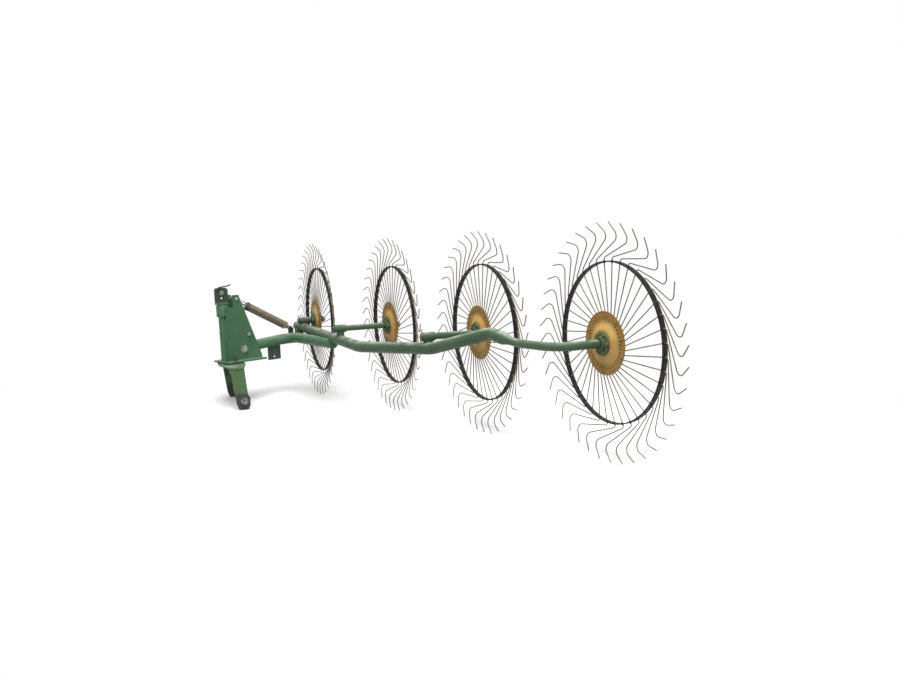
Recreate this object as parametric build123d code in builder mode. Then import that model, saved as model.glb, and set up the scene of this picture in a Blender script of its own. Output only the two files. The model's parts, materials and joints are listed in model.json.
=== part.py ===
"""Four-wheel finger wheel rake for a tractor's three-point linkage.

Millimetres, +Z up, floor at Z = 0. +X runs across towards the outer wheel, +Y runs back along the main beam.
The pieces are laid out from the kingpin's foot and moved at the end, so that the origin is the middle of the
machine's floor box. The hitch is parked at a turn to the beam about the kingpin.
"""
import os
from math import asin, cos, degrees, radians, sin

from build123d import *

SEAT = 0.2              # gap at a seat between two pieces of one body
RUN = 0.05              # radial clearance of a running fit
RUN_FACE = 0.3          # gap between two faces that bear on each other
RUN_GAP = 6.0           # gap that clears a moving piece
HEX = 1.7               # corner radius of a bolt's head over its shank's radius

# Finger wheels
TINE_COUNT = 40
TINE_WIRE = 6.0
TINE_LEAN = 62.0        # distance of a spoke's line from the wheel's axis
TINE_ROOT = 112.0       # radius of a tine's inner end
TINE_CLAMP = 158.0      # radius at which a tine leaves the hub discs
HOOP_RADIUS = 440.0
HOOP_WIDTH = 30.0
HOOP_THICK = 7.0
TINE_BEND = 462.0       # radius of the bend outside the hoop
ELBOW_DROP = 72.0       # radius from the elbow to the tip
ELBOW_TURN = 26.0       # degrees from the hoop hole to the elbow
ELBOW_SET = 25.0        # reach of the elbow in front of the hoop
TIP_RADIUS = 650.0
TIP_TURN = 18.5         # degrees from the hoop hole to the tip
TIP_SET = 40.0          # reach of the tip in front of the hoop
TINE_BENDS = (16.0, 16.0, 36.0)
HUB_SET = 28.0          # hub discs stand this far in front of the hoop
DISC_RADIUS = 172.0
DISC_THICK = 3.0
BACK_DISC_INSET = 4.0   # back disc's rim inside the tines' clamp radius
DISH_OUTER = 112.0      # radii and depth of the front disc's dish
DISH_INNER = 76.0
DISH_DEPTH = 14.0
SLOT_RADIUS = 134.0
SLOT_COUNT = 40
SLOT_LENGTH = 18.0
SLOT_WIDTH = 5.0
BOSS_RADIUS = 40.0
BOSS_FLANGE = 65.0
FLANGE_THICK = 10.0
BOSS_FRONT = 74.0       # reach of the boss in front of the hoop's plane
BOSS_BACK = 14.0
SPINDLE_RADIUS = 15.0
AXLE_NUT = 16.0
WHEEL_AXIS = 24.0       # degrees from +Y towards +X

# name, X, Y, length of the straight axle arm in front of the hoop's plane (0: bent arm at the boom's end)
WHEELS = [
    ("wheel_1", 297.0, 742.0, 190.0),
    ("wheel_2", 1354.0, 624.0, 473.0),
    ("wheel_3", 2362.0, 460.0, 438.0),
    ("wheel_4", 3375.0, 303.0, 0.0),
]

FRAME_HUB = 650.2744    # hub height for which the heights of boom, tower and hitch are given

# Boom
PIVOT_Y = 126.0
PIVOT_Z = 447.0
BEAM_RADIUS = 44.5
BEAM_RISE = 5.0         # degrees
BEAM_FRONT = 66.0       # reach in front of the pivot
BEAM_REAR = 526.0       # from the pivot to the bend
BEAM_BEND = 150.0
BEAM_END = (1010.0, 300.0, 528.0)
STOP_POST = 50.0        # side of the post under the stop bolt
PIVOT_TUBE_WALL = 12.0
TUBE_RADIUS = 38.0
TUBE_WALL = 5.0
TUBE_POINTS = [
    (30.0, 698.0, 590.0),
    (1560.0, 90.0, 553.0),
    (2240.0, 92.0, 578.0),
    (2690.0, 125.0, 690.0),
    (2800.0, 98.0, 672.0),
]
TUBE_BENDS = (260.0, 260.0, 110.0)
TUBE_STEPS = 400        # places along the tube that are tried for the foot of a sleeve
SADDLE_X = 150.0
SADDLE_Y = 626.0
SADDLE_FOOT = 515.0
SADDLE_HEIGHT = 60.0
SADDLE_LENGTH = 70.0
SADDLE_WIDTH = 60.0
ARM_RADIUS = 21.0
OUTER_ARM_RADIUS = 24.0
ARM_FALL = 140.0        # from the boom tube's end to the level run of the outer arm
ARM_CORNER = 337.0      # from the outer wheel's centre to its arm's corner
ARM_BENDS = (200.0, 140.0)
PLUG_LENGTH = 25.0      # reach of the outer arm's plug into the boom tube
PLUG_LIP = 8.0
SLEEVE_RADIUS = 29.0
SLEEVE_LENGTH = 80.0
SLEEVE_WEB = 1.3        # width of the web under a sleeve over the sleeve's radius
SLEEVE_FOOT = 0.6       # share of the sleeve's length that stands on the boom tube
ARM_STICKOUT = 12.0     # reach of an axle arm in front of its sleeve
LUG_RADIUS = 18.0
LUG_HOLE = 6.0
LUG_HALF = 6.0
LUG_X = 40.0
LUG_Y = 612.0
LUG_Z = 578.0
LUG_FOOT = (48.0, 60.0)
LUG_FOOT_PLACE = (6.0, -30.0)
BRACKET_Y = 460.0
BRACKET_Z = 340.0
BRACKET_HOLE = 11.0
BRACKET_SIZE = (120.0, 130.0)
BRACKET_RISE = 40.0     # from the bracket's hole to its middle
BRACKET_HALF = 8.0

# Tower
KINGPIN_Y = -10.0
KINGPIN_RADIUS = 22.5
HITCH_TOP = 340.0       # upper face of the hitch's plate
WASHER = 8.0
WASHER_RADIUS = 43.0
BASE_THICK = 12.0
BASE_WIDTH = 260.0
BASE_FRONT = -57.0
BASE_REAR = 310.0
BASE_CORNER = 28.0
TOWER_PLATE = 8.0
TOWER_INSIDE = 56.0     # half the gap between the tower's side plates
TOWER_TOP = 900.0
TOWER_SHOULDER = 800.0
HEAD_FRONT = 48.0       # front and rear of the side plates' tops
HEAD_REAR = 105.0
PLATE_REAR = 295.0
PLATE_REAR_HEIGHT = 24.0
PLATE_FRONT_LEFT = -22.0
PLATE_FRONT_RIGHT = 40.0
HOUSING_WALL = 14.0
HOUSING_TOP = 712.0
RIB = 14.0
RIB_FRONT = -20.0
RIB_REAR = 72.0
PIVOT_RADIUS = 15.0
STOP_Y = 178.0
STOP_Z = 567.0
STOP_RADIUS = 10.0
SPRING_BOLT_Y = 82.0
SPRING_BOLT_Z = 868.0
SPRING_BOLT_RADIUS = 8.0
SPRING_RADIUS = 28.0
SPRING_ROD = 5.0
SPRING_HOOK = 130.0     # from the spring bolt to the first coil
SPRING_TAIL = 40.0      # from the last coil to the lug
HOOK_GAP = 0.7
LOCK_X = 96.0
LOCK_Y = 20.0
LOCK_RADIUS = 8.0
LOCK_COLLAR = (12.8, 8.0)
LOCK_HEIGHT = 62.0

# name, Y, Z, shank radius
BOLTS = [
    ("pivot_bolt", PIVOT_Y, PIVOT_Z, PIVOT_RADIUS),
    ("stop_bolt", STOP_Y, STOP_Z, STOP_RADIUS),
    ("spring_bolt", SPRING_BOLT_Y, SPRING_BOLT_Z, SPRING_BOLT_RADIUS),
]

# Hitch, across and back from the kingpin in its own turned frame
HITCH_TURN = -25.0      # degrees from +X to the line through the lower link pins
PLATE = 10.0
HITCH_HALF = 329.3      # half the width over the lower plates, for link collars 683 apart
CROSS_END = (-8.0, 100.0)           # front and rear of the cross plate at its ends
CROSS_FRONT = (90.0, -62.0)         # half width and place of its front edge
CROSS_REAR = (110.0, 140.0)         # half width and place of its rear edge
LOWER_TOP = (-6.0, 100.0)           # front and rear of a lower plate at its top
LOWER_FOOT = [(116.0, 120.0), (132.0, 92.0), (130.0, 30.0), (114.0, 0.0), (44.0, 0.0), (26.0, 48.0), (14.0, 150.0)]
WEB_BACK = 45.0
WEB_DEEP = 160.0                    # depth of the web at its ends and in its middle
WEB_SHALLOW = 95.0
WEB_MIDDLE = 120.0                  # half the length of its shallow part
LINK_PIN_BACK = 86.0
LINK_PIN_Z = 72.0
LINK_PIN_RADIUS = 11.0
LINK_PIN_LENGTH = 56.0
LINK_COLLAR = 12.0
LINK_COLLAR_RADIUS = 30.0
LINK_NUT_RADIUS = 20.0
KINGPIN_TOP = 800.0
KINGPIN_HEAD = (36.0, 16.0)
COLLAR_WALL = 16.5
CLEVIS_FOOT = 826.0
CLEVIS_TOP = 962.0
CLEVIS_HALF = 40.0
CLEVIS_FRONT = -54.0
CLEVIS_BACK = 46.0
CLEVIS_CORNER = 20.0
EAR = 14.0
SLOT_FLOOR = 846.0
TOP_LINK_BACK = -3.0
TOP_LINK_Z = 879.0
TOP_LINK_RADIUS = 9.75
TOP_BOLT_Z = 922.0
TOP_BOLT_RADIUS = 12.0
TOP_BOLT_HEAD = 14.0


def polar(radius, turn, height):
    """Return a point of the wheel at a radius, a turn in degrees and a place along the axis."""
    return Vector(radius * cos(radians(turn)), radius * sin(radians(turn)), height)


def spoke_turn(radius):
    """Return the turn in degrees at which a leaning spoke passes a radius."""
    return degrees(asin(TINE_LEAN / radius))


pieces = []


def keep(solid, label):
    """Name a finished piece and put it on the list of pieces."""
    solid.label = label
    pieces.append(solid)


def keep_raised(solid, label):
    """Raise a piece of the frame with the wheels' hubs and keep it."""
    keep(Pos(0, 0, lift) * solid, label)


# One tine: clamped flat between the hub discs, out through the hoop, a bend, an elbow and a straight tip.
hole_turn = spoke_turn(HOOP_RADIUS)
tip_turn = hole_turn + TIP_TURN
tine_points = [
    polar(TINE_ROOT, spoke_turn(TINE_ROOT), -HUB_SET),
    polar(TINE_CLAMP, spoke_turn(TINE_CLAMP), -HUB_SET),
    polar(TINE_BEND, spoke_turn(TINE_BEND), 0),
    polar(TIP_RADIUS - ELBOW_DROP, hole_turn + ELBOW_TURN, -ELBOW_SET),
    polar(TIP_RADIUS, tip_turn, -TIP_SET),
]
with BuildPart() as tine:
    with BuildLine() as tine_line:
        FilletPolyline(*tine_points, radius=TINE_BENDS)
    with BuildSketch(Plane(tine_line.line @ 0, z_dir=tine_line.line % 0)):
        Circle(TINE_WIRE / 2)
    sweep()

# The hoop and its tines, with two tips straddling the lowest point of the wheel.
with BuildPart() as tine_ring:
    with BuildSketch(Plane.XY.offset(-HOOP_WIDTH / 2)):
        Circle(HOOP_RADIUS + HOOP_THICK / 2)
        Circle(HOOP_RADIUS - HOOP_THICK / 2, mode=Mode.SUBTRACT)
    extrude(amount=HOOP_WIDTH)
    with PolarLocations(0, TINE_COUNT, start_angle=90 - tip_turn + 180 / TINE_COUNT):
        add(tine.part)
HUB_Z = tine_ring.part.bounding_box().max.Y
lift = HUB_Z - FRAME_HUB

# Hub discs on both sides of the tines, the front one dished and with a ring of slots.
clamp_half = TINE_WIRE / 2 + SEAT
disc_back = -HUB_SET - clamp_half
disc_front = disc_back - DISC_THICK
disc_bore = BOSS_RADIUS + SEAT
with BuildPart() as front_disc:
    with BuildSketch(Plane.XZ):
        Polygon((DISC_RADIUS, disc_back), (DISH_OUTER, disc_back), (DISH_INNER, disc_back - DISH_DEPTH),
                (disc_bore, disc_back - DISH_DEPTH), (disc_bore, disc_front - DISH_DEPTH),
                (DISH_INNER, disc_front - DISH_DEPTH), (DISH_OUTER, disc_front), (DISC_RADIUS, disc_front),
                align=None)
    revolve(axis=Axis.Z)
    with BuildSketch(Plane.XY.offset(disc_back)):
        with PolarLocations(SLOT_RADIUS, SLOT_COUNT):
            SlotOverall(SLOT_LENGTH, SLOT_WIDTH)
    extrude(amount=-DISC_THICK, mode=Mode.SUBTRACT)
with BuildPart() as back_disc:
    with BuildSketch(Plane.XY.offset(-HUB_SET + clamp_half)):
        Circle(TINE_CLAMP - BACK_DISC_INSET)
        Circle(disc_bore, mode=Mode.SUBTRACT)
    extrude(amount=DISC_THICK)

# The boss carries the discs and turns on the axle's spindle.
flange_back = disc_front - DISH_DEPTH - SEAT
with BuildPart() as boss:
    with BuildSketch(Plane.XY.offset(-BOSS_FRONT)):
        Circle(BOSS_RADIUS)
    extrude(amount=BOSS_FRONT + BOSS_BACK)
    with BuildSketch(Plane.XY.offset(flange_back)):
        Circle(BOSS_FLANGE)
    extrude(amount=-FLANGE_THICK)
    with BuildSketch(Plane.XY.offset(-BOSS_FRONT)):
        Circle(SPINDLE_RADIUS + RUN)
    extrude(amount=BOSS_FRONT + BOSS_BACK, mode=Mode.SUBTRACT)

axle_dir = Vector(sin(radians(WHEEL_AXIS)), cos(radians(WHEEL_AXIS)), 0)
side_dir = Vector(cos(radians(WHEEL_AXIS)), -sin(radians(WHEEL_AXIS)), 0)
axle_planes = {}
for name, x, y, arm in WHEELS:
    plane = Plane((x, y, HUB_Z), x_dir=side_dir, z_dir=axle_dir)
    axle_planes[name] = Plane((x, y, FRAME_HUB), x_dir=side_dir, z_dir=axle_dir)
    for part_name, source in [("tines", tine_ring), ("front_disc", front_disc), ("back_disc", back_disc),
                              ("boss", boss)]:
        keep(plane.location * source.part, f"{name}_{part_name}")

# Boom tube, bent to run in front of the wheels, with the outer wheel's arm in line with its end.
with BuildPart() as boom_tube:
    with BuildLine() as tube_line:
        FilletPolyline(*TUBE_POINTS, radius=TUBE_BENDS)
    with BuildSketch(Plane(tube_line.line @ 0, z_dir=tube_line.line % 0)):
        Circle(TUBE_RADIUS)
        Circle(TUBE_RADIUS - TUBE_WALL, mode=Mode.SUBTRACT)
    sweep()
keep_raised(boom_tube.part, "boom_tube")
with BuildPart() as tube_space:
    with BuildSketch(Plane(tube_line.line @ 0, z_dir=tube_line.line % 0)):
        Circle(TUBE_RADIUS + SEAT)
    sweep(path=tube_line.line)

# Main beam on the tower's pivot bolt: straight back, then bent to run up under the boom tube.
rise = radians(BEAM_RISE)
beam_dir = Vector(0, cos(rise), sin(rise))
pivot = Vector(0, PIVOT_Y, PIVOT_Z)
beam_points = [pivot - beam_dir * BEAM_FRONT, pivot + beam_dir * BEAM_REAR, Vector(*BEAM_END)]
pivot_plane = Plane(pivot, x_dir=(0, 1, 0), z_dir=(1, 0, 0))
stop_under = STOP_Z - STOP_RADIUS - RUN_FACE
with BuildPart() as main_beam:
    with BuildLine() as beam_line:
        FilletPolyline(*beam_points, radius=BEAM_BEND)
    with BuildSketch(Plane(beam_line.line @ 0, z_dir=beam_line.line % 0)):
        Circle(BEAM_RADIUS)
        Circle(BEAM_RADIUS - TUBE_WALL, mode=Mode.SUBTRACT)
    sweep()
    with BuildSketch(Plane.XY.offset(stop_under)):
        with Locations((0, STOP_Y)):
            Rectangle(STOP_POST, STOP_POST)
    extrude(until=Until.NEXT, dir=(0, 0, -1))
    with BuildSketch(pivot_plane):
        Circle(PIVOT_RADIUS + PIVOT_TUBE_WALL)
    extrude(amount=TOWER_INSIDE - RUN_GAP, both=True)
    with BuildSketch(pivot_plane):
        Circle(PIVOT_RADIUS + RUN)
    extrude(amount=TOWER_INSIDE, both=True, mode=Mode.SUBTRACT)
    add(tube_space.part, mode=Mode.SUBTRACT)
keep_raised(main_beam.part, "main_beam")
with BuildPart() as beam_space:
    with BuildSketch(Plane(beam_line.line @ 0, z_dir=beam_line.line % 0)):
        Circle(BEAM_RADIUS + SEAT)
    sweep(path=beam_line.line)

# Saddle that ties the boom tube to the beam near their inner ends.
with BuildPart() as boom_saddle:
    with BuildSketch(Plane.XY.offset(SADDLE_FOOT)):
        with Locations((SADDLE_X, SADDLE_Y)):
            Rectangle(SADDLE_LENGTH, SADDLE_WIDTH, rotation=-WHEEL_AXIS)
    extrude(amount=SADDLE_HEIGHT)
    add(tube_space.part, mode=Mode.SUBTRACT)
    add(beam_space.part, mode=Mode.SUBTRACT)
keep_raised(boom_saddle.part, "boom_saddle")

# Axle arms: three straight ones held in sleeves on the boom tube, the outer one bent.
shoulder = BOSS_FRONT + RUN_GAP
nut_front = BOSS_BACK + RUN_GAP
tube_end = Vector(*TUBE_POINTS[-1])
tube_end_dir = (tube_end - Vector(*TUBE_POINTS[-2])).normalized()
for name, x, y, arm in WHEELS:
    plane = axle_planes[name]
    with BuildPart() as axle_arm:
        if arm:
            with BuildSketch(plane.offset(-arm)):
                Circle(ARM_RADIUS)
            extrude(amount=arm - shoulder)
        else:
            hub = Vector(x, y, FRAME_HUB)
            start = tube_end + tube_end_dir * SEAT
            level = start + tube_end_dir * ARM_FALL
            with BuildLine() as arm_line:
                FilletPolyline(start, Vector(level.X, level.Y, FRAME_HUB), hub - axle_dir * ARM_CORNER,
                               hub - axle_dir * shoulder, radius=ARM_BENDS)
            plug = Plane(arm_line.line @ 0, z_dir=arm_line.line % 0)
            with BuildSketch(plug):
                Circle(OUTER_ARM_RADIUS)
            sweep(path=arm_line.line)
            with BuildSketch(plug):
                Circle(TUBE_RADIUS - TUBE_WALL - SEAT)
            extrude(amount=-PLUG_LENGTH)
            with BuildSketch(plug):
                Circle(TUBE_RADIUS)
            extrude(amount=PLUG_LIP)
        with BuildSketch(plane.offset(-shoulder)):
            Circle(SPINDLE_RADIUS)
        extrude(amount=shoulder + nut_front)
        with BuildSketch(plane.offset(nut_front)):
            RegularPolygon(SPINDLE_RADIUS * HEX, 6)
        extrude(amount=AXLE_NUT)
    keep_raised(axle_arm.part, name.replace("wheel", "axle_arm"))

tube_places = [tube_line.line @ (step / TUBE_STEPS) for step in range(TUBE_STEPS + 1)]
for name, x, y, arm in WHEELS:
    if not arm:
        continue
    plane = axle_planes[name]
    sleeve_front = ARM_STICKOUT - arm
    sleeve_rise = SLEEVE_LENGTH * (1 - SLEEVE_FOOT) / 2
    sleeve_middle = plane.origin + axle_dir * (sleeve_front + SLEEVE_LENGTH / 2)
    tube_middle = min(tube_places, key=lambda place: (place - sleeve_middle).length)
    web_fall = abs(FRAME_HUB - tube_middle.Z)
    with BuildPart() as axle_sleeve:
        with BuildSketch(plane.offset(sleeve_front)):
            Circle(SLEEVE_RADIUS)
        extrude(amount=SLEEVE_LENGTH)
        with BuildSketch(plane.offset(sleeve_front + sleeve_rise)):
            with Locations((0, web_fall / 2)):
                Rectangle(SLEEVE_RADIUS * SLEEVE_WEB, web_fall)
        extrude(amount=SLEEVE_LENGTH * SLEEVE_FOOT)
        with BuildSketch(plane.offset(sleeve_front)):
            Circle(ARM_RADIUS + SEAT)
        extrude(amount=SLEEVE_LENGTH, mode=Mode.SUBTRACT)
        add(tube_space.part, mode=Mode.SUBTRACT)
    keep_raised(axle_sleeve.part, name.replace("wheel", "axle_sleeve"))

# Spring lug and parking bracket on the beam.
with BuildPart() as spring_lug:
    with BuildSketch(Plane((LUG_X, LUG_Y, LUG_Z), x_dir=(0, 1, 0), z_dir=(1, 0, 0))):
        Circle(LUG_RADIUS)
        with Locations(LUG_FOOT_PLACE):
            Rectangle(*LUG_FOOT)
        Circle(LUG_HOLE, mode=Mode.SUBTRACT)
    extrude(amount=LUG_HALF, both=True)
    add(beam_space.part, mode=Mode.SUBTRACT)
keep_raised(spring_lug.part, "spring_lug")

with BuildPart() as park_bracket:
    with BuildSketch(Plane.YZ):
        with Locations((BRACKET_Y, BRACKET_Z + BRACKET_RISE)):
            Rectangle(*BRACKET_SIZE)
        with Locations((BRACKET_Y, BRACKET_Z)):
            Circle(BRACKET_HOLE, mode=Mode.SUBTRACT)
    extrude(amount=BRACKET_HALF, both=True)
    add(beam_space.part, mode=Mode.SUBTRACT)
keep_raised(park_bracket.part, "park_bracket")

# Balance spring between the tower's spring bolt and the beam's lug.
spring_top = Vector(0, SPRING_BOLT_Y, SPRING_BOLT_Z)
spring_low = Vector(LUG_X, LUG_Y, LUG_Z)
spring_dir = (spring_low - spring_top).normalized()
spring_plane = Plane(spring_top + spring_dir * (SPRING_BOLT_RADIUS + HOOK_GAP), z_dir=spring_dir)
rod_length = (spring_low - spring_top).length - SPRING_BOLT_RADIUS - LUG_RADIUS - HOOK_GAP * 2
with BuildPart() as balance_spring:
    with BuildSketch(spring_plane):
        Circle(SPRING_ROD)
    extrude(amount=rod_length)
    with BuildSketch(spring_plane.offset(SPRING_HOOK)):
        Circle(SPRING_RADIUS)
    extrude(amount=rod_length - SPRING_HOOK - SPRING_TAIL)
keep_raised(balance_spring.part, "balance_spring")

# Tower: two side plates on a base plate, with the kingpin's housing between their front edges.
base_under = HITCH_TOP + WASHER + RUN_FACE
base_top = base_under + BASE_THICK
plate_foot = base_top + SEAT
with BuildPart() as tower_base:
    with BuildSketch(Plane.XY.offset(base_under)):
        with Locations((0, (BASE_FRONT + BASE_REAR) / 2)):
            RectangleRounded(BASE_WIDTH, BASE_REAR - BASE_FRONT, BASE_CORNER)
        with Locations((0, KINGPIN_Y)):
            Circle(KINGPIN_RADIUS + RUN, mode=Mode.SUBTRACT)
        with Locations((LOCK_X, LOCK_Y)):
            Circle(LOCK_RADIUS + SEAT, mode=Mode.SUBTRACT)
    extrude(amount=BASE_THICK)
keep_raised(tower_base.part, "tower_base")

for side, front, name in [(1, PLATE_FRONT_LEFT, "tower_plate_left"), (-1, PLATE_FRONT_RIGHT, "tower_plate_right")]:
    with BuildPart() as tower_plate:
        with BuildSketch(Plane.YZ.offset(side * TOWER_INSIDE)):
            Polygon((front, plate_foot), (PLATE_REAR, plate_foot), (PLATE_REAR, plate_foot + PLATE_REAR_HEIGHT),
                    (HEAD_REAR, TOWER_TOP), (HEAD_FRONT, TOWER_TOP), (HEAD_FRONT, TOWER_SHOULDER),
                    (front, TOWER_SHOULDER), align=None)
            for bolt_name, y, z, radius in BOLTS:
                with Locations((y, z)):
                    Circle(radius + SEAT, mode=Mode.SUBTRACT)
        extrude(amount=side * TOWER_PLATE)
    keep_raised(tower_plate.part, name)

with BuildPart() as kingpin_housing:
    with BuildSketch(Plane.XY.offset(plate_foot)):
        with Locations((0, KINGPIN_Y)):
            Circle(KINGPIN_RADIUS + HOUSING_WALL)
    extrude(amount=HOUSING_TOP - plate_foot)
    for rib_z in (plate_foot, (plate_foot + HOUSING_TOP) / 2, HOUSING_TOP - RIB):
        with BuildSketch(Plane.XY.offset(rib_z)):
            with Locations((0, (RIB_FRONT + RIB_REAR) / 2)):
                Rectangle(2 * (TOWER_INSIDE - SEAT), RIB_REAR - RIB_FRONT)
        extrude(amount=RIB)
    with BuildSketch(Plane.XY.offset(plate_foot)):
        with Locations((0, KINGPIN_Y)):
            Circle(KINGPIN_RADIUS + RUN)
    extrude(amount=HOUSING_TOP - plate_foot, mode=Mode.SUBTRACT)
keep_raised(kingpin_housing.part, "kingpin_housing")

head_seat = TOWER_INSIDE + TOWER_PLATE + SEAT
for name, y, z, radius in BOLTS:
    with BuildPart() as bolt:
        with BuildSketch(Plane.YZ.offset(-head_seat)):
            with Locations((y, z)):
                Circle(radius)
        extrude(amount=2 * head_seat)
        for side in (1, -1):
            with BuildSketch(Plane.YZ.offset(side * head_seat)):
                with Locations((y, z)):
                    RegularPolygon(radius * HEX, 6)
            extrude(amount=side * radius)
    keep_raised(bolt.part, name)

with BuildPart() as lock_pin:
    with BuildSketch(Plane.XY.offset(base_under)):
        with Locations((LOCK_X, LOCK_Y)):
            Circle(LOCK_RADIUS)
    extrude(amount=LOCK_HEIGHT)
    with BuildSketch(Plane.XY.offset(base_top + SEAT)):
        with Locations((LOCK_X, LOCK_Y)):
            Circle(LOCK_COLLAR[0])
    extrude(amount=LOCK_COLLAR[1])
keep_raised(lock_pin.part, "lock_pin")

# Hitch: cross plate with a web and two lower plates, link pins, kingpin, thrust washer and top link clevis.
turn = radians(HITCH_TURN)
hitch = Plane((0, KINGPIN_Y, 0), x_dir=(cos(turn), sin(turn), 0), z_dir=(0, 0, 1))
hitch_side = Plane(hitch.origin, x_dir=hitch.y_dir, z_dir=hitch.x_dir)
hitch_rear = Plane(hitch.origin + hitch.y_dir * WEB_BACK, x_dir=hitch.x_dir, z_dir=-hitch.y_dir)
plate_under = HITCH_TOP - PLATE
pin_place = (LINK_PIN_BACK, LINK_PIN_Z - lift)
leg = [(LOWER_TOP[0], plate_under), (LOWER_TOP[1], plate_under)] + [(back, z - lift) for back, z in LOWER_FOOT]
web_half = HITCH_HALF - PLATE / 2
web_top = HITCH_TOP - PLATE / 2
with BuildPart() as lower_bracket:
    with BuildSketch(hitch.offset(plate_under)):
        Polygon((HITCH_HALF, CROSS_END[0]), (HITCH_HALF, CROSS_END[1]), CROSS_REAR, (-CROSS_REAR[0], CROSS_REAR[1]),
                (-HITCH_HALF, CROSS_END[1]), (-HITCH_HALF, CROSS_END[0]), (-CROSS_FRONT[0], CROSS_FRONT[1]),
                CROSS_FRONT, align=None)
    extrude(amount=PLATE)
    for side in (1, -1):
        with BuildSketch(hitch_side.offset(side * HITCH_HALF)):
            Polygon(*leg, align=None)
        extrude(amount=-side * PLATE)
    with BuildSketch(hitch_rear):
        Polygon((-web_half, web_top), (web_half, web_top), (web_half, HITCH_TOP - WEB_DEEP),
                (WEB_MIDDLE, HITCH_TOP - WEB_SHALLOW), (-WEB_MIDDLE, HITCH_TOP - WEB_SHALLOW),
                (-web_half, HITCH_TOP - WEB_DEEP), align=None)
    extrude(amount=-PLATE)
    with BuildSketch(hitch.offset(HITCH_TOP - PLATE)):
        Circle(KINGPIN_RADIUS + SEAT)
    extrude(amount=PLATE, mode=Mode.SUBTRACT)
    with BuildSketch(hitch_side.offset(-HITCH_HALF)):
        with Locations(pin_place):
            Circle(LINK_PIN_RADIUS + SEAT)
    extrude(amount=2 * HITCH_HALF, mode=Mode.SUBTRACT)
keep_raised(lower_bracket.part, "lower_bracket")

for side, name in [(1, "link_pin_left"), (-1, "link_pin_right")]:
    with BuildPart() as link_pin:
        with BuildSketch(hitch_side.offset(side * (HITCH_HALF - PLATE - SEAT))):
            with Locations(pin_place):
                Circle(LINK_NUT_RADIUS)
        extrude(amount=-side * LINK_COLLAR)
        with BuildSketch(hitch_side.offset(side * (HITCH_HALF + SEAT))):
            with Locations(pin_place):
                Circle(LINK_COLLAR_RADIUS)
        extrude(amount=side * LINK_COLLAR)
        with BuildSketch(hitch_side.offset(side * (HITCH_HALF - PLATE - SEAT))):
            with Locations(pin_place):
                Circle(LINK_PIN_RADIUS)
        extrude(amount=side * (PLATE + SEAT * 2 + LINK_COLLAR + LINK_PIN_LENGTH))
    keep_raised(link_pin.part, name)

with BuildPart() as kingpin:
    with BuildSketch(hitch.offset(HITCH_TOP - PLATE - SEAT)):
        Circle(KINGPIN_RADIUS)
    extrude(amount=KINGPIN_TOP - HITCH_TOP + PLATE + SEAT)
    with BuildSketch(hitch.offset(HITCH_TOP - PLATE - SEAT)):
        Circle(KINGPIN_HEAD[0])
    extrude(amount=-KINGPIN_HEAD[1])
keep_raised(kingpin.part, "kingpin")

with BuildPart() as thrust_washer:
    with BuildSketch(hitch.offset(HITCH_TOP + SEAT)):
        Circle(WASHER_RADIUS)
        Circle(KINGPIN_RADIUS + SEAT, mode=Mode.SUBTRACT)
    extrude(amount=WASHER - SEAT)
keep_raised(thrust_washer.part, "thrust_washer")

collar_foot = HOUSING_TOP + RUN_GAP
clevis_middle = (CLEVIS_FRONT + CLEVIS_BACK) / 2
clevis_length = CLEVIS_BACK - CLEVIS_FRONT
with BuildPart() as top_link_clevis:
    with BuildSketch(hitch.offset(CLEVIS_FOOT)):
        with Locations((0, clevis_middle)):
            Rectangle(2 * CLEVIS_HALF, clevis_length)
    extrude(amount=SLOT_FLOOR - CLEVIS_FOOT)
    with BuildSketch(hitch.offset(collar_foot)):
        Circle(KINGPIN_RADIUS + COLLAR_WALL)
    extrude(amount=CLEVIS_FOOT - collar_foot)
    with BuildSketch(hitch.offset(collar_foot)):
        Circle(KINGPIN_RADIUS + SEAT)
    extrude(amount=KINGPIN_TOP + SEAT - collar_foot, mode=Mode.SUBTRACT)
keep_raised(top_link_clevis.part, "top_link_clevis")

ear_foot = SLOT_FLOOR + SEAT
for side, name in [(1, "top_link_ear_left"), (-1, "top_link_ear_right")]:
    with BuildPart() as top_link_ear:
        with BuildSketch(hitch_side.offset(side * CLEVIS_HALF)) as ear:
            with Locations((clevis_middle, (ear_foot + CLEVIS_TOP) / 2)):
                Rectangle(clevis_length, CLEVIS_TOP - ear_foot)
            fillet(ear.vertices().group_by(Axis.Y)[-1], CLEVIS_CORNER)
            with Locations((TOP_LINK_BACK, TOP_LINK_Z)):
                Circle(TOP_LINK_RADIUS, mode=Mode.SUBTRACT)
            with Locations((TOP_LINK_BACK, TOP_BOLT_Z)):
                Circle(TOP_BOLT_RADIUS + SEAT, mode=Mode.SUBTRACT)
        extrude(amount=-side * EAR)
    keep_raised(top_link_ear.part, name)

with BuildPart() as top_link_bolt:
    with BuildSketch(hitch_side.offset(-CLEVIS_HALF - SEAT)):
        with Locations((TOP_LINK_BACK, TOP_BOLT_Z)):
            Circle(TOP_BOLT_RADIUS)
    extrude(amount=2 * (CLEVIS_HALF + SEAT))
    for side in (1, -1):
        with BuildSketch(hitch_side.offset(side * (CLEVIS_HALF + SEAT))):
            with Locations((TOP_LINK_BACK, TOP_BOLT_Z)):
                RegularPolygon(TOP_BOLT_RADIUS * HEX, 6)
        extrude(amount=side * TOP_BOLT_HEAD)
keep_raised(top_link_bolt.part, "top_link_bolt")

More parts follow.
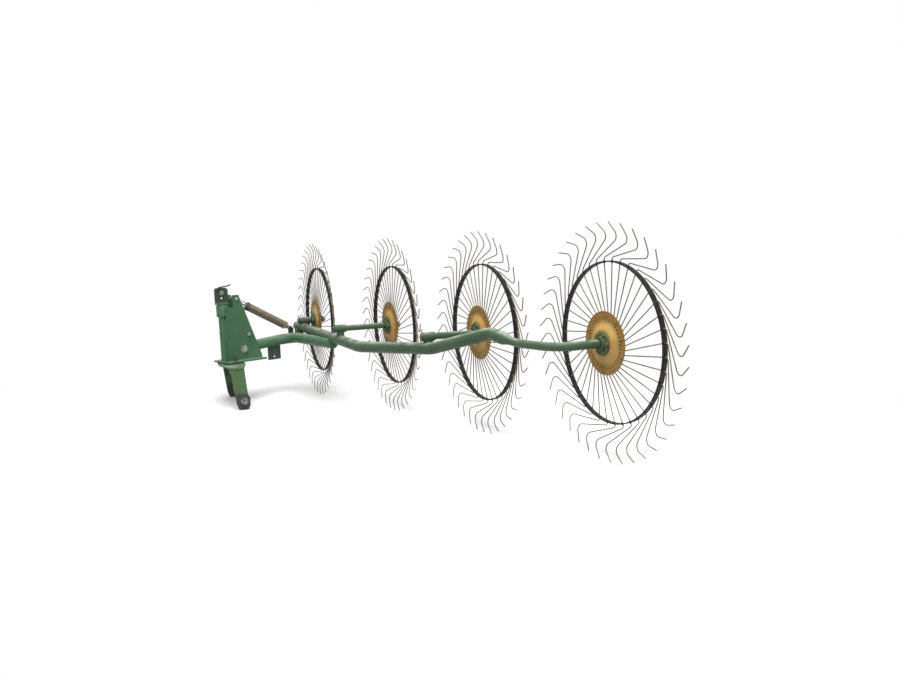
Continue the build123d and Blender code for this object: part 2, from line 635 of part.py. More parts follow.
# Move the machine so that the origin is the middle of its floor box, and write the pieces.
boxes = [piece.bounding_box() for piece in pieces]
low = Vector(min(box.min.X for box in boxes), min(box.min.Y for box in boxes), min(box.min.Z for box in boxes))
high = Vector(max(box.max.X for box in boxes), max(box.max.Y for box in boxes), 0)
origin = Pos(-(low.X + high.X) / 2, -(low.Y + high.Y) / 2, -low.Z)
os.makedirs("parts", exist_ok=True)
for piece in pieces:
    placed = origin * piece
    placed.label = piece.label
    export_step(placed, f"parts/{piece.label}.step")
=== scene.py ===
"""Looks of a four-wheel finger wheel rake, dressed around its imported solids.

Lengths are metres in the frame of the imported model. Places on the machine are given in millimetres from the kingpin's
foot and brought into the model's frame by Layout.spot and Layout.hitch_spot.
"""
import json
import logging
import math
from dataclasses import dataclass
from enum import Enum
from typing import Callable, Iterable, Sequence

import bpy
from mathutils import Matrix, Vector


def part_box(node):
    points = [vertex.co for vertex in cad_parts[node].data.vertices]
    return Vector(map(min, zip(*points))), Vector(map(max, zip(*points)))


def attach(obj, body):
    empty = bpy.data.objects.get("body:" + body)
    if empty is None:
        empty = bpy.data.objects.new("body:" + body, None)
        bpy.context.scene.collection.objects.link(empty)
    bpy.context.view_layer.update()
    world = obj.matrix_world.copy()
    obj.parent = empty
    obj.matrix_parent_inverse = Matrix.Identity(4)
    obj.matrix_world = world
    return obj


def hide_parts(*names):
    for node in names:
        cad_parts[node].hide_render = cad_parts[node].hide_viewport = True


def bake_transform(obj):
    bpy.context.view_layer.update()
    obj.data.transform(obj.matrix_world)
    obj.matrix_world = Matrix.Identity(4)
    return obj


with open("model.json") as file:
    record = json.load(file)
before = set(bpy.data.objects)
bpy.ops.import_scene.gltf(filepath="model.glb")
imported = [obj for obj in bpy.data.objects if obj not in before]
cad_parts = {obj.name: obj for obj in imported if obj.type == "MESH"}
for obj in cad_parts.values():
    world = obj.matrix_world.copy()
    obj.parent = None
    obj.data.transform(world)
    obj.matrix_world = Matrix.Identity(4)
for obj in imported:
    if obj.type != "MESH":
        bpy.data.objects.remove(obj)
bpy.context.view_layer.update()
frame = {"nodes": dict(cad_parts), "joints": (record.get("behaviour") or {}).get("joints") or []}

LOG = logging.getLogger("finger_wheel_rake")
MM = 0.001
UP = Vector((0.0, 0.0, 1.0))
WHITE = (1.0, 1.0, 1.0, 1.0)
EDGE_ANGLE = 35.0   # largest angles in degrees that are shaded as one
SPRING_ANGLE = 50.0
WELD_ANGLE = 60.0
RAY_REACH = 0.12    # length of the rays that look for a weld's place
WELD_SHARES = [share / 12 for share in range(13)]

Piece = bpy.types.Object
Socket = bpy.types.NodeSocket
Colour = tuple[float, float, float, float]
Point = tuple[float, float, float]
Profile = tuple[tuple[float, float], ...]
FaceTest = Callable[[Vector, Vector], bool]


class Body(Enum):
    """Bodies of the machine that a piece can ride on."""

    HITCH = "hitch"
    TOWER = "tower"
    BOOM = "boom"


class Slot(Enum):
    """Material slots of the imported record."""

    GREEN = "green_paint"
    DARK = "dark_paint"
    HUB = "hub_paint"
    WIRE = "tine_wire"
    SPRING = "spring_steel"
    STEEL = "plain_steel"
    BOLT = "bolt_steel"


class Side(Enum):
    """Sides of the tower and of the hitch, as a sign."""

    LEFT = 1
    RIGHT = -1


@dataclass(frozen=True)
class HexSize:
    """Corner radius and height of a bolt head or nut, and its washer's radius."""

    radius: float
    height: float
    washer: float


# Modelling by operators


def clear_selection() -> None:
    """Leave edit mode and deselect every object."""
    if bpy.context.mode != "OBJECT":
        bpy.ops.object.mode_set(mode="OBJECT")
    bpy.ops.object.select_all(action="DESELECT")


def pick(piece: Piece) -> None:
    """Make one object the only selected and active one."""
    clear_selection()
    piece.select_set(True)
    bpy.context.view_layer.objects.active = piece


def is_top(centre: Vector, normal: Vector) -> bool:
    """Say whether a face looks up."""
    return normal.z > 0.9


def is_upper(centre: Vector, normal: Vector) -> bool:
    """Say whether a face looks at least a little up."""
    return normal.z > 0.2


def is_outer(centre: Vector, normal: Vector) -> bool:
    """Say whether a face looks away from the Z axis."""
    return centre.x * normal.x + centre.y * normal.y > 0.0


def is_end(centre: Vector, normal: Vector) -> bool:
    """Say whether a face looks up or down."""
    return abs(normal.z) > 0.9


def choose_faces(piece: Piece, test: FaceTest) -> None:
    """Enter edit mode with the faces selected that pass a test.

    Args:
        piece: The mesh object.
        test: Takes a face's centre and normal and says whether it is selected.
    """
    pick(piece)
    bpy.context.tool_settings.mesh_select_mode = (False, False, True)
    for item in (*piece.data.vertices, *piece.data.edges):
        item.select = False
    for face in piece.data.polygons:
        face.select = test(face.center, face.normal)
    bpy.ops.object.mode_set(mode="EDIT")


def close_mesh() -> None:
    """Fill the open ends of the mesh in edit mode, turn its faces outwards and leave edit mode."""
    bpy.ops.mesh.select_all(action="SELECT")
    bpy.ops.mesh.fill_holes(sides=0)
    bpy.ops.mesh.select_all(action="SELECT")
    bpy.ops.mesh.normals_make_consistent(inside=False)
    clear_selection()


def join(pieces: Sequence[Piece]) -> Piece:
    """Join pieces into the first one and return it."""
    clear_selection()
    for piece in pieces:
        piece.select_set(True)
    bpy.context.view_layer.objects.active = pieces[0]
    bpy.ops.object.transform_apply(location=True, rotation=True, scale=True)
    if len(pieces) > 1:
        bpy.ops.object.join()
    return pieces[0]


def copies(pattern: Piece, places: Iterable[Matrix]) -> Piece:
    """Copy a pattern to each place, each copy with its own mesh, and join the copies.

    Args:
        pattern: The modelled object, which is used up.
        places: One matrix for each copy.

    Returns:
        The joined copies.
    """
    made = []
    for place in places:
        twin = pattern.copy()
        twin.data = pattern.data.copy()
        bpy.context.scene.collection.objects.link(twin)
        twin.matrix_world = place
        made.append(twin)
    bpy.data.objects.remove(pattern)
    return join(made)


def axes_matrix(x_axis: Vector, y_axis: Vector, z_axis: Vector, place: Vector) -> Matrix:
    """Return the matrix with the given axes and place."""
    matrix = Matrix((x_axis, y_axis, z_axis)).transposed().to_4x4()
    matrix.translation = place
    return matrix


def placed(piece: Piece, place: Matrix) -> Piece:
    """Put a piece at a place and return it."""
    piece.matrix_world = place
    return piece


def stand(place: Vector, up: Vector, along: Vector = UP) -> Matrix:
    """Return the matrix that puts a pattern at a place with its Z axis on a direction.

    Args:
        place: Where the pattern's origin goes.
        up: Direction of its Z axis.
        along: Direction that its X axis turns towards.

    Returns:
        The matrix.
    """
    z_axis = up.normalized()
    if abs(z_axis.dot(along.normalized())) > 0.99:
        along = Vector((1.0, 0.0, 0.0)) if abs(z_axis.x) < 0.9 else Vector((0.0, 1.0, 0.0))
    y_axis = z_axis.cross(along).normalized()
    return axes_matrix(y_axis.cross(z_axis), y_axis, z_axis, place)


def stud(vertices: int, radius: float, depth: float, insets: Sequence[tuple[float, float]],
         foot: float = 0.0) -> Piece:
    """Model a round or cornered stud along Z with an inset top.

    Args:
        vertices: Corners of its section.
        radius: Corner radius.
        depth: Length from its foot to its top.
        insets: Thickness and depth of each inset of the top.
        foot: Height of its foot.

    Returns:
        The stud.
    """
    clear_selection()
    bpy.ops.mesh.primitive_cylinder_add(vertices=vertices, radius=radius, depth=depth,
                                        location=(0.0, 0.0, foot + depth / 2))
    piece = bpy.context.object
    bpy.ops.object.transform_apply(location=True)
    choose_faces(piece, is_top)
    for thickness, rise in insets:
        bpy.ops.mesh.inset(thickness=thickness, depth=rise)
    clear_selection()
    return piece


def hex_head(size: HexSize) -> Piece:
    """Model a bolt head on its washer, standing on the origin along Z."""
    thick = size.height * 0.22
    insets = [(size.radius * 0.14, size.height * 0.10), (size.radius * 0.18, 0.0),
              (size.radius * 0.05, -size.height * 0.05)]
    return join([stud(6, size.radius, size.height, insets, thick),
                 stud(20, size.washer, thick, [(size.washer * 0.06, thick * 0.2)])])


def rolled_ring(radius: float, thick: float, corners: tuple[int, int], test: FaceTest,
                squeeze: Point) -> Piece:
    """Model a ring around Z with some of its faces squeezed.

    Args:
        radius: Radius of its middle line.
        thick: Radius of its section.
        corners: Corners around the ring and around its section.
        test: Chooses the faces that are squeezed.
        squeeze: Their scale.

    Returns:
        The ring.
    """
    clear_selection()
    bpy.ops.mesh.primitive_torus_add(major_radius=radius, minor_radius=thick, major_segments=corners[0],
                                     minor_segments=corners[1])
    ring = bpy.context.object
    choose_faces(ring, test)
    bpy.ops.transform.resize(value=squeeze)
    clear_selection()
    return ring


def wire(points: Iterable[Sequence[float]], radius: float, sides: int = 2) -> Piece:
    """Model a bent wire along points.

    Args:
        points: Control points of the wire's line, five or more.
        radius: Radius of the wire.
        sides: Bevel resolution of its round section.

    Returns:
        The wire as a mesh object.
    """
    controls = list(points)
    clear_selection()
    bpy.ops.curve.primitive_nurbs_path_add()
    path = bpy.context.object
    spline = path.data.splines[0]
    spline.points.add(len(controls) - len(spline.points))
    for control, point in zip(spline.points, controls):
        control.co = (*point, 1.0)
    spline.order_u = 3
    spline.use_endpoint_u = True
    path.data.resolution_u = 6
    path.data.bevel_depth = radius
    path.data.bevel_resolution = sides
    path.data.use_fill_caps = True
    pick(path)
    bpy.ops.object.convert(target="MESH")
    return bpy.context.object


def arc(radius: float, turns: Iterable[int]) -> list[tuple[float, float]]:
    """Return the points of an arc at turns in degrees."""
    return [(radius * math.cos(math.radians(turn)), radius * math.sin(math.radians(turn))) for turn in turns]


def turned(profile: Profile, vertices: int = 40) -> Piece:
    """Model a round closed piece along Z, ring by ring.

    Args:
        profile: Radius and height of each ring, from one end to the other.
        vertices: Corners of each ring.

    Returns:
        The piece.
    """
    clear_selection()
    radius, height = profile[0]
    bpy.ops.mesh.primitive_circle_add(vertices=vertices, radius=radius, location=(0.0, 0.0, height))
    piece = bpy.context.object
    bpy.ops.object.transform_apply(location=True)
    bpy.context.tool_settings.mesh_select_mode = (True, False, False)
    bpy.ops.object.mode_set(mode="EDIT")
    bpy.ops.mesh.select_all(action="SELECT")
    for wide, high in profile[1:]:
        bpy.ops.mesh.extrude_region_move(TRANSFORM_OT_translate={"value": (0.0, 0.0, high - height)})
        bpy.ops.transform.resize(value=(wide / radius, wide / radius, 1.0))
        radius, height = wide, high
    close_mesh()
    return piece


def cast_line(node: str, starts: Iterable[Vector], toward: Vector) -> list[Vector]:
    """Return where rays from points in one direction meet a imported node."""
    casts = [frame["nodes"][node].ray_cast(start, toward, distance=RAY_REACH) for start in starts]
    return [place for hit, place, _, _ in casts if hit]


def weld_bead(lines: Sequence[Sequence[Vector]], radius: float) -> Piece:
    """Model a rippled weld bead along one or more lines of points.

    Args:
        lines: Lines of points, each followed by its own bead.
        radius: Half the width of the bead.

    Returns:
        The bead as one mesh object.
    """
    clear_selection()
    bpy.ops.mesh.primitive_uv_sphere_add(segments=8, ring_count=5, radius=radius)
    drop = bpy.context.object
    choose_faces(drop, lambda centre, normal: centre.z < -radius * 0.2)
    bpy.ops.transform.resize(value=(1.0, 1.0, 0.6))
    clear_selection()
    places = []
    step = radius * 1.1
    for line in lines:
        carry = 0.0
        for start, end in zip(line, line[1:]):
            run = end - start
            reach = carry
            while reach < run.length:
                places.append(stand(start + run.normalized() * reach, UP, run))
                reach += step
            carry = reach - run.length
    squeeze = Matrix.Diagonal((0.75, 1.0, 0.8, 1.0))
    return copies(drop, [place @ squeeze for place in places])


# Finishes


@dataclass(frozen=True)
class Dress:
    """A built material and the record's slot that it belongs to."""

    material: bpy.types.Material
    slot: Slot


class Nodes:
    """Short calls to add and link the nodes of one tree."""

    def __init__(self, tree: bpy.types.NodeTree) -> None:
        """Take the tree that is filled."""
        self.tree = tree

    def add(self, kind: str, inputs: dict | None = None, **settings: object) -> bpy.types.Node:
        """Add a node.

        Args:
            kind: Node type without its prefix.
            inputs: Socket name or index to a value or to the socket that is linked to it.
            settings: Properties of the node.

        Returns:
            The new node.
        """
        node = self.tree.nodes.new("ShaderNode" + kind)
        for key, value in settings.items():
            setattr(node, key, value)
        self.feed(node, inputs or {})
        return node

    def feed(self, node: bpy.types.Node, inputs: dict) -> None:
        """Set each named socket of a node to a value or link it to another socket."""
        for key, value in inputs.items():
            if isinstance(value, Socket):
                self.tree.links.new(value, node.inputs[key])
            else:
                node.inputs[key].default_value = value

    def calc(self, operation: str, *values: object) -> Socket:
        """Return the result of a math node."""
        return self.add("Math", dict(enumerate(values)), operation=operation).outputs[0]

    def seen(self) -> Socket:
        """Return 1 for the rays that show the surroundings: camera, glossy and transmission rays."""
        rays = self.add("LightPath").outputs
        return self.calc("MAXIMUM", rays["Is Camera Ray"],
                         self.calc("MAXIMUM", rays["Is Glossy Ray"], rays["Is Transmission Ray"]))


class Graph(Nodes):
    """Node tree of one material."""

    def __init__(self, name: str) -> None:
        """Start a material with its Principled shader."""
        self.material = bpy.data.materials.new(name)
        self.material.use_nodes = True
        super().__init__(self.material.node_tree)
        self.shader = self.tree.nodes["Principled BSDF"]
        self.place = self.add("TexCoord").outputs["Object"]

    def vector(self, operation: str, *values: object) -> bpy.types.Node:
        """Add a vector math node."""
        return self.add("VectorMath", dict(enumerate(values)), operation=operation)

    def noise(self, scale: float, detail: float = 4.0, roughness: float = 0.55) -> Socket:
        """Return the value of a noise pattern on object coordinates."""
        node = self.add("TexNoise", {"Vector": self.place, "Scale": scale, "Detail": detail, "Roughness": roughness})
        return node.outputs["Fac"]

    def span(self, value: Socket, low: float, high: float, start: float = 0.0,
             end: float = 1.0) -> Socket:
        """Return a value mapped smoothly from one range to another."""
        node = self.add("MapRange", {"Value": value, "From Min": low, "From Max": high, "To Min": start,
                                     "To Max": end}, interpolation_type="SMOOTHSTEP")
        return node.outputs["Result"]

    def mix(self, factor: object, first: object, second: object) -> Socket:
        """Return a mix of two colours."""
        return self.add("Mix", {0: factor, 6: first, 7: second}, data_type="RGBA").outputs[2]

    def edges(self, radius: float) -> tuple[Socket, Socket]:
        """Return a normal rounded at sharp edges and a mask of those edges."""
        rounded = self.add("Bevel", {"Radius": radius}, samples=4).outputs["Normal"]
        flat = self.add("NewGeometry").outputs["Normal"]
        return rounded, self.span(self.vector("DOT_PRODUCT", rounded, flat).outputs["Value"], 0.995, 0.86)

    def reach(self, centre: Vector, axle: Vector) -> Socket:
        """Return the distance from a wheel's axle."""
        arm = self.vector("SUBTRACT", self.place, centre).outputs[0]
        sweep = self.vector("CROSS_PRODUCT", arm, axle).outputs[0]
        return self.vector("LENGTH", sweep).outputs["Value"]

    def bump(self, scale: float, detail: float, distance: float, inputs: dict) -> Socket:
        """Return a normal with a fine noise relief on the normal among the inputs."""
        relief = {"Height": self.noise(scale, detail), "Distance": distance}
        return self.add("Bump", relief | inputs).outputs["Normal"]

    def sheen(self, scale: float, low: float, high: float) -> Socket:
        """Return a roughness that varies between two values."""
        return self.span(self.noise(scale), 0.3, 0.7, low, high)

    def chip(self, colour: object, edge: object, wear: float, worn: Colour) -> Socket:
        """Return a colour with the paint chipped at the edges."""
        chips = self.span(self.noise(55.0, 6.0, 0.65), 0.50, 0.60, 0.0, wear)
        return self.mix(self.calc("MULTIPLY", edge, chips), colour, worn)

    def dress(self, slot: Slot, inputs: dict) -> Dress:
        """Feed the shader and return the finished dress."""
        self.feed(self.shader, inputs)
        return Dress(self.material, slot)


@dataclass(frozen=True)
class Paint:
    """Brushed-on machine paint with worn edges, dust on top and a slight orange peel."""

    name: str
    slot: Slot
    deep: Colour
    pale: Colour
    dust: Colour = (0.42, 0.46, 0.38, 1.0)
    worn: Colour = (0.28, 0.27, 0.25, 1.0)
    roughness: float = 0.52
    specular: float = 0.32
    wear: float = 0.55
    dusty: float = 0.35
    # height below which the paint turns to the darker colour underneath; 0 leaves the paint even
    darker_below: float = 0.0
    darker_colour: Colour = (0.040, 0.042, 0.040, 1.0)

    def build(self) -> Dress:
        """Make the paint's material."""
        graph = Graph(self.name)
        rounded, edge = graph.edges(0.003)
        colour = graph.mix(graph.span(graph.noise(3.0, 6.0), 0.35, 0.70), self.deep, self.pale)
        above = graph.add("SeparateXYZ", {0: graph.add("NewGeometry").outputs["Normal"]}).outputs["Z"]
        settled = graph.calc("MULTIPLY", graph.span(above, 0.45, 1.0, 0.0, self.dusty),
                             graph.span(graph.noise(11.0, 5.0), 0.30, 0.72))
        colour = graph.mix(settled, colour, self.dust)
        # darker towards the bottom, below a height
        if self.darker_below > 0.0:
            height = graph.add("SeparateXYZ", {0: graph.place}).outputs["Z"]
            ragged = graph.calc("MULTIPLY", graph.noise(18.0), 0.05)
            lower = graph.span(graph.calc("SUBTRACT", height, ragged), self.darker_below, self.darker_below - 0.03)
            colour = graph.mix(lower, colour, self.darker_colour)
        return graph.dress(self.slot, {
            "Base Color": graph.chip(colour, edge, self.wear, self.worn),
            "Specular IOR Level": self.specular,
            "Roughness": graph.sheen(23.0, self.roughness - 0.08, self.roughness + 0.12),
            "Normal": graph.bump(260.0, 2.0, 0.00025, {"Normal": rounded})})


@dataclass(frozen=True)
class Steel:
    """Plain or plated steel with stains and fine scratches."""

    name: str
    slot: Slot
    clean: Colour
    stained: Colour
    metallic: float = 0.75
    roughness: float = 0.40
    grain: float = 90.0

    def build(self) -> Dress:
        """Make the steel's material."""
        graph = Graph(self.name)
        rounded, edge = graph.edges(0.0015)
        cloud = graph.span(graph.noise(self.grain * 0.4, 6.0), 0.38, 0.68)
        colour = graph.mix(cloud, self.clean, self.stained)
        return graph.dress(self.slot, {
            "Base Color": graph.mix(graph.calc("MULTIPLY", edge, 0.4), colour, self.clean),
            "Metallic": self.metallic,
            "Roughness": graph.sheen(self.grain, self.roughness - 0.1, self.roughness + 0.2),
            "Normal": graph.bump(self.grain * 4.0, 3.0, 0.0002, {"Normal": rounded})})


@dataclass(frozen=True)
class WheelWire:
    """Black hoop and weathered spring-wire tines of one wheel, told apart by their distance from its axle."""

    name: str
    centre: Vector
    axle: Vector
    hoop_radius: float = 0.440
    hoop_half: float = 0.0052
    specular: float = 0.22
    tine_metallic: float = 0.55
    black: Colour = (0.008, 0.0075, 0.007, 1.0)
    scuffed: Colour = (0.032, 0.028, 0.025, 1.0)
    bare: Colour = (0.185, 0.155, 0.115, 1.0)
    rusty: Colour = (0.112, 0.078, 0.046, 1.0)

    def build(self) -> Dress:
        """Make the wheel's wire material."""
        graph = Graph(self.name)
        hoop = graph.calc("COMPARE", graph.reach(self.centre, self.axle), self.hoop_radius, self.hoop_half)
        worn = graph.span(graph.noise(30.0, 6.0), 0.50, 0.72)
        rust = graph.span(graph.noise(14.0, 6.0), 0.42, 0.66)
        return graph.dress(Slot.WIRE, {
            "Base Color": graph.mix(hoop, graph.mix(rust, self.bare, self.rusty),
                                    graph.mix(worn, self.black, self.scuffed)),
            "Metallic": graph.span(hoop, 0.0, 1.0, self.tine_metallic, 0.0),
            "Specular IOR Level": self.specular,
            "Roughness": graph.sheen(60.0, 0.46, 0.68),
            "Normal": graph.bump(320.0, 2.0, 0.0002, {})})


@dataclass(frozen=True)
class HubPaint:
    """Ochre paint of one wheel's discs, bright in the dish and darker brown towards the rim from dirt and painted
    shade, with dark spots of grime and painted shade around the slots.
    """

    name: str
    centre: Vector
    axle: Vector
    specular: float = 0.35
    bright: Colour = (0.530, 0.335, 0.098, 1.0)
    deep: Colour = (0.400, 0.230, 0.060, 1.0)
    # rim colour: dirt and painted shade towards the rim; worn colour: chipped paint, and also the grime and painted
    # shade around the slots
    rim: Colour = (0.225, 0.118, 0.024, 1.0)
    worn: Colour = (0.150, 0.085, 0.035, 1.0)
    dish: float = 0.112
    slots: float = 0.134
    slot_half: float = 0.011

    def build(self) -> Dress:
        """Make the discs' material."""
        graph = Graph(self.name)
        rounded, edge = graph.edges(0.003)
        radius = graph.reach(self.centre, self.axle)
        colour = graph.mix(graph.span(graph.noise(7.0, 6.0), 0.36, 0.68), self.deep, self.bright)
        # darker brown towards the rim: partly dirt, partly painted shade
        ragged = graph.calc("MULTIPLY", graph.noise(22.0, 6.0, 0.62), 0.045)
        outer = graph.span(graph.calc("ADD", radius, ragged), self.dish + 0.006, self.dish + 0.060, 0.0, 0.85)
        colour = graph.mix(outer, colour, self.rim)
        # dark spots around the slots: partly grime, partly painted shade
        slot_grime_and_shade = graph.calc("COMPARE", radius, self.slots, self.slot_half)
        spots = graph.span(graph.noise(70.0, 5.0), 0.50, 0.66, 0.0, 0.55)
        colour = graph.mix(graph.calc("MULTIPLY", slot_grime_and_shade, spots), colour, self.worn)
        return graph.dress(Slot.HUB, {
            "Base Color": graph.chip(colour, edge, 0.6, self.worn),
            "Specular IOR Level": self.specular,
            "Roughness": graph.sheen(23.0, 0.42, 0.62),
            "Normal": graph.bump(260.0, 2.0, 0.00025, {"Normal": rounded})})


class FinishBook:
    """The machine's finishes, each built once."""

    def __init__(self) -> None:
        """Build the finishes that several sub-assemblies share."""
        self.green = Paint("green_machine_paint", Slot.GREEN, (0.040, 0.112, 0.052, 1.0),
                           (0.064, 0.150, 0.076, 1.0), dusty=0.5).build()
        self.bracket = Paint("green_paint_dark_foot", Slot.GREEN, (0.052, 0.104, 0.038, 1.0),
                             (0.076, 0.132, 0.052, 1.0), dusty=0.5, darker_below=0.120).build()
        self.dark = Paint("dark_green_paint", Slot.DARK, (0.018, 0.032, 0.020, 1.0),
                          (0.040, 0.062, 0.044, 1.0), (0.12, 0.14, 0.11, 1.0), wear=0.4).build()
        self.boom = Paint("faded_boom_paint", Slot.GREEN, (0.035, 0.068, 0.034, 1.0),
                          (0.052, 0.092, 0.049, 1.0), (0.38, 0.44, 0.36, 1.0), dusty=0.75).build()
        self.boss = Paint("boss_green_paint", Slot.GREEN, (0.040, 0.085, 0.035, 1.0),
                          (0.105, 0.120, 0.050, 1.0), wear=0.6).build()
        self.spring = Steel("coil_spring_steel", Slot.SPRING, (0.205, 0.164, 0.120, 1.0),
                            (0.160, 0.124, 0.088, 1.0), metallic=0.30, roughness=0.45).build()
        self.blackened = Steel("blackened_steel", Slot.STEEL, (0.075, 0.078, 0.070, 1.0),
                               (0.030, 0.030, 0.027, 1.0), metallic=0.5).build()
        self.steel = Steel("plain_pin_steel", Slot.STEEL, (0.24, 0.24, 0.23, 1.0), (0.09, 0.085, 0.08, 1.0)).build()
        self.drab = Steel("overpainted_bolt_steel", Slot.BOLT, (0.215, 0.265, 0.210, 1.0),
                          (0.105, 0.150, 0.110, 1.0), metallic=0.3).build()
        self.bolt = Steel("plated_bolt_steel", Slot.BOLT, (0.46, 0.47, 0.44, 1.0), (0.22, 0.22, 0.19, 1.0),
                          roughness=0.36).build()


def settle(piece: Piece, name: str, dress: Dress, smooth: float) -> None:
    """Put a piece's place into its mesh, name it, smooth its shallow edges and dress it.

    Args:
        piece: The modelled object.
        name: Its name.
        dress: Its material and slot.
        smooth: Largest angle in degrees between two faces that are shaded as one.
    """
    pick(piece)
    bpy.ops.object.transform_apply(location=True, rotation=True, scale=True)
    bpy.ops.object.shade_smooth_by_angle(angle=math.radians(smooth))
    piece.name = name
    piece.data.name = name
    piece.data.materials.clear()
    piece.data.materials.append(dress.material)


def fit(piece: Piece, name: str, body: str, dress: Dress, smooth: float = EDGE_ANGLE) -> None:
    """Finish a piece, dress it and let it ride on a body.

    Args:
        piece: The modelled object.
        name: Its name.
        body: Name of the body that carries it.
        dress: Its material and slot.
        smooth: Largest angle in degrees that is shaded as one.
    """
    settle(piece, name, dress, smooth)
    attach(piece, body)
    LOG.info("%s rides on %s with %d faces", name, body, len(piece.data.polygons))


def dress_nodes(dress: Dress, *nodes: str) -> None:
    """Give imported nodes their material."""
    for node in nodes:
        mesh = frame["nodes"][node].data
        mesh.materials.clear()
        mesh.materials.append(dress.material)
        LOG.info("%s is dressed in %s", node, dress.material.name)


# Sub-assemblies


@dataclass(frozen=True)
class Layout:
    """Places on the machine, in millimetres from the kingpin's foot."""

    kingpin_y: float = -10.0
    hitch_turn: float = -25.0

    @property
    def across(self) -> Vector:
        """Direction of the line through the lower link pins of the turned hitch."""
        turn = math.radians(self.hitch_turn)
        return Vector((math.cos(turn), math.sin(turn), 0.0))

    def hitch_spot(self, across: float, back: float, z: float) -> Vector:
        """Return a place of the turned hitch, across and back from the kingpin, in the model's frame."""
        rearward = Vector((-self.across.y, self.across.x, 0.0))
        return self.on_kingpin(z) + (self.across * across + rearward * back) * MM

    def on_kingpin(self, z: float) -> Vector:
        """Return a place on the kingpin's axis in the model's frame."""
        return self.spot(0.0, self.kingpin_y, z)

    def spot(self, x: float, y: float, z: float) -> Vector:
        """Return a place of the layout in the model's frame."""
        low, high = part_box("kingpin")
        foot = (low + high) / 2
        return Vector((foot.x + x * MM, foot.y + (y - self.kingpin_y) * MM, z * MM))


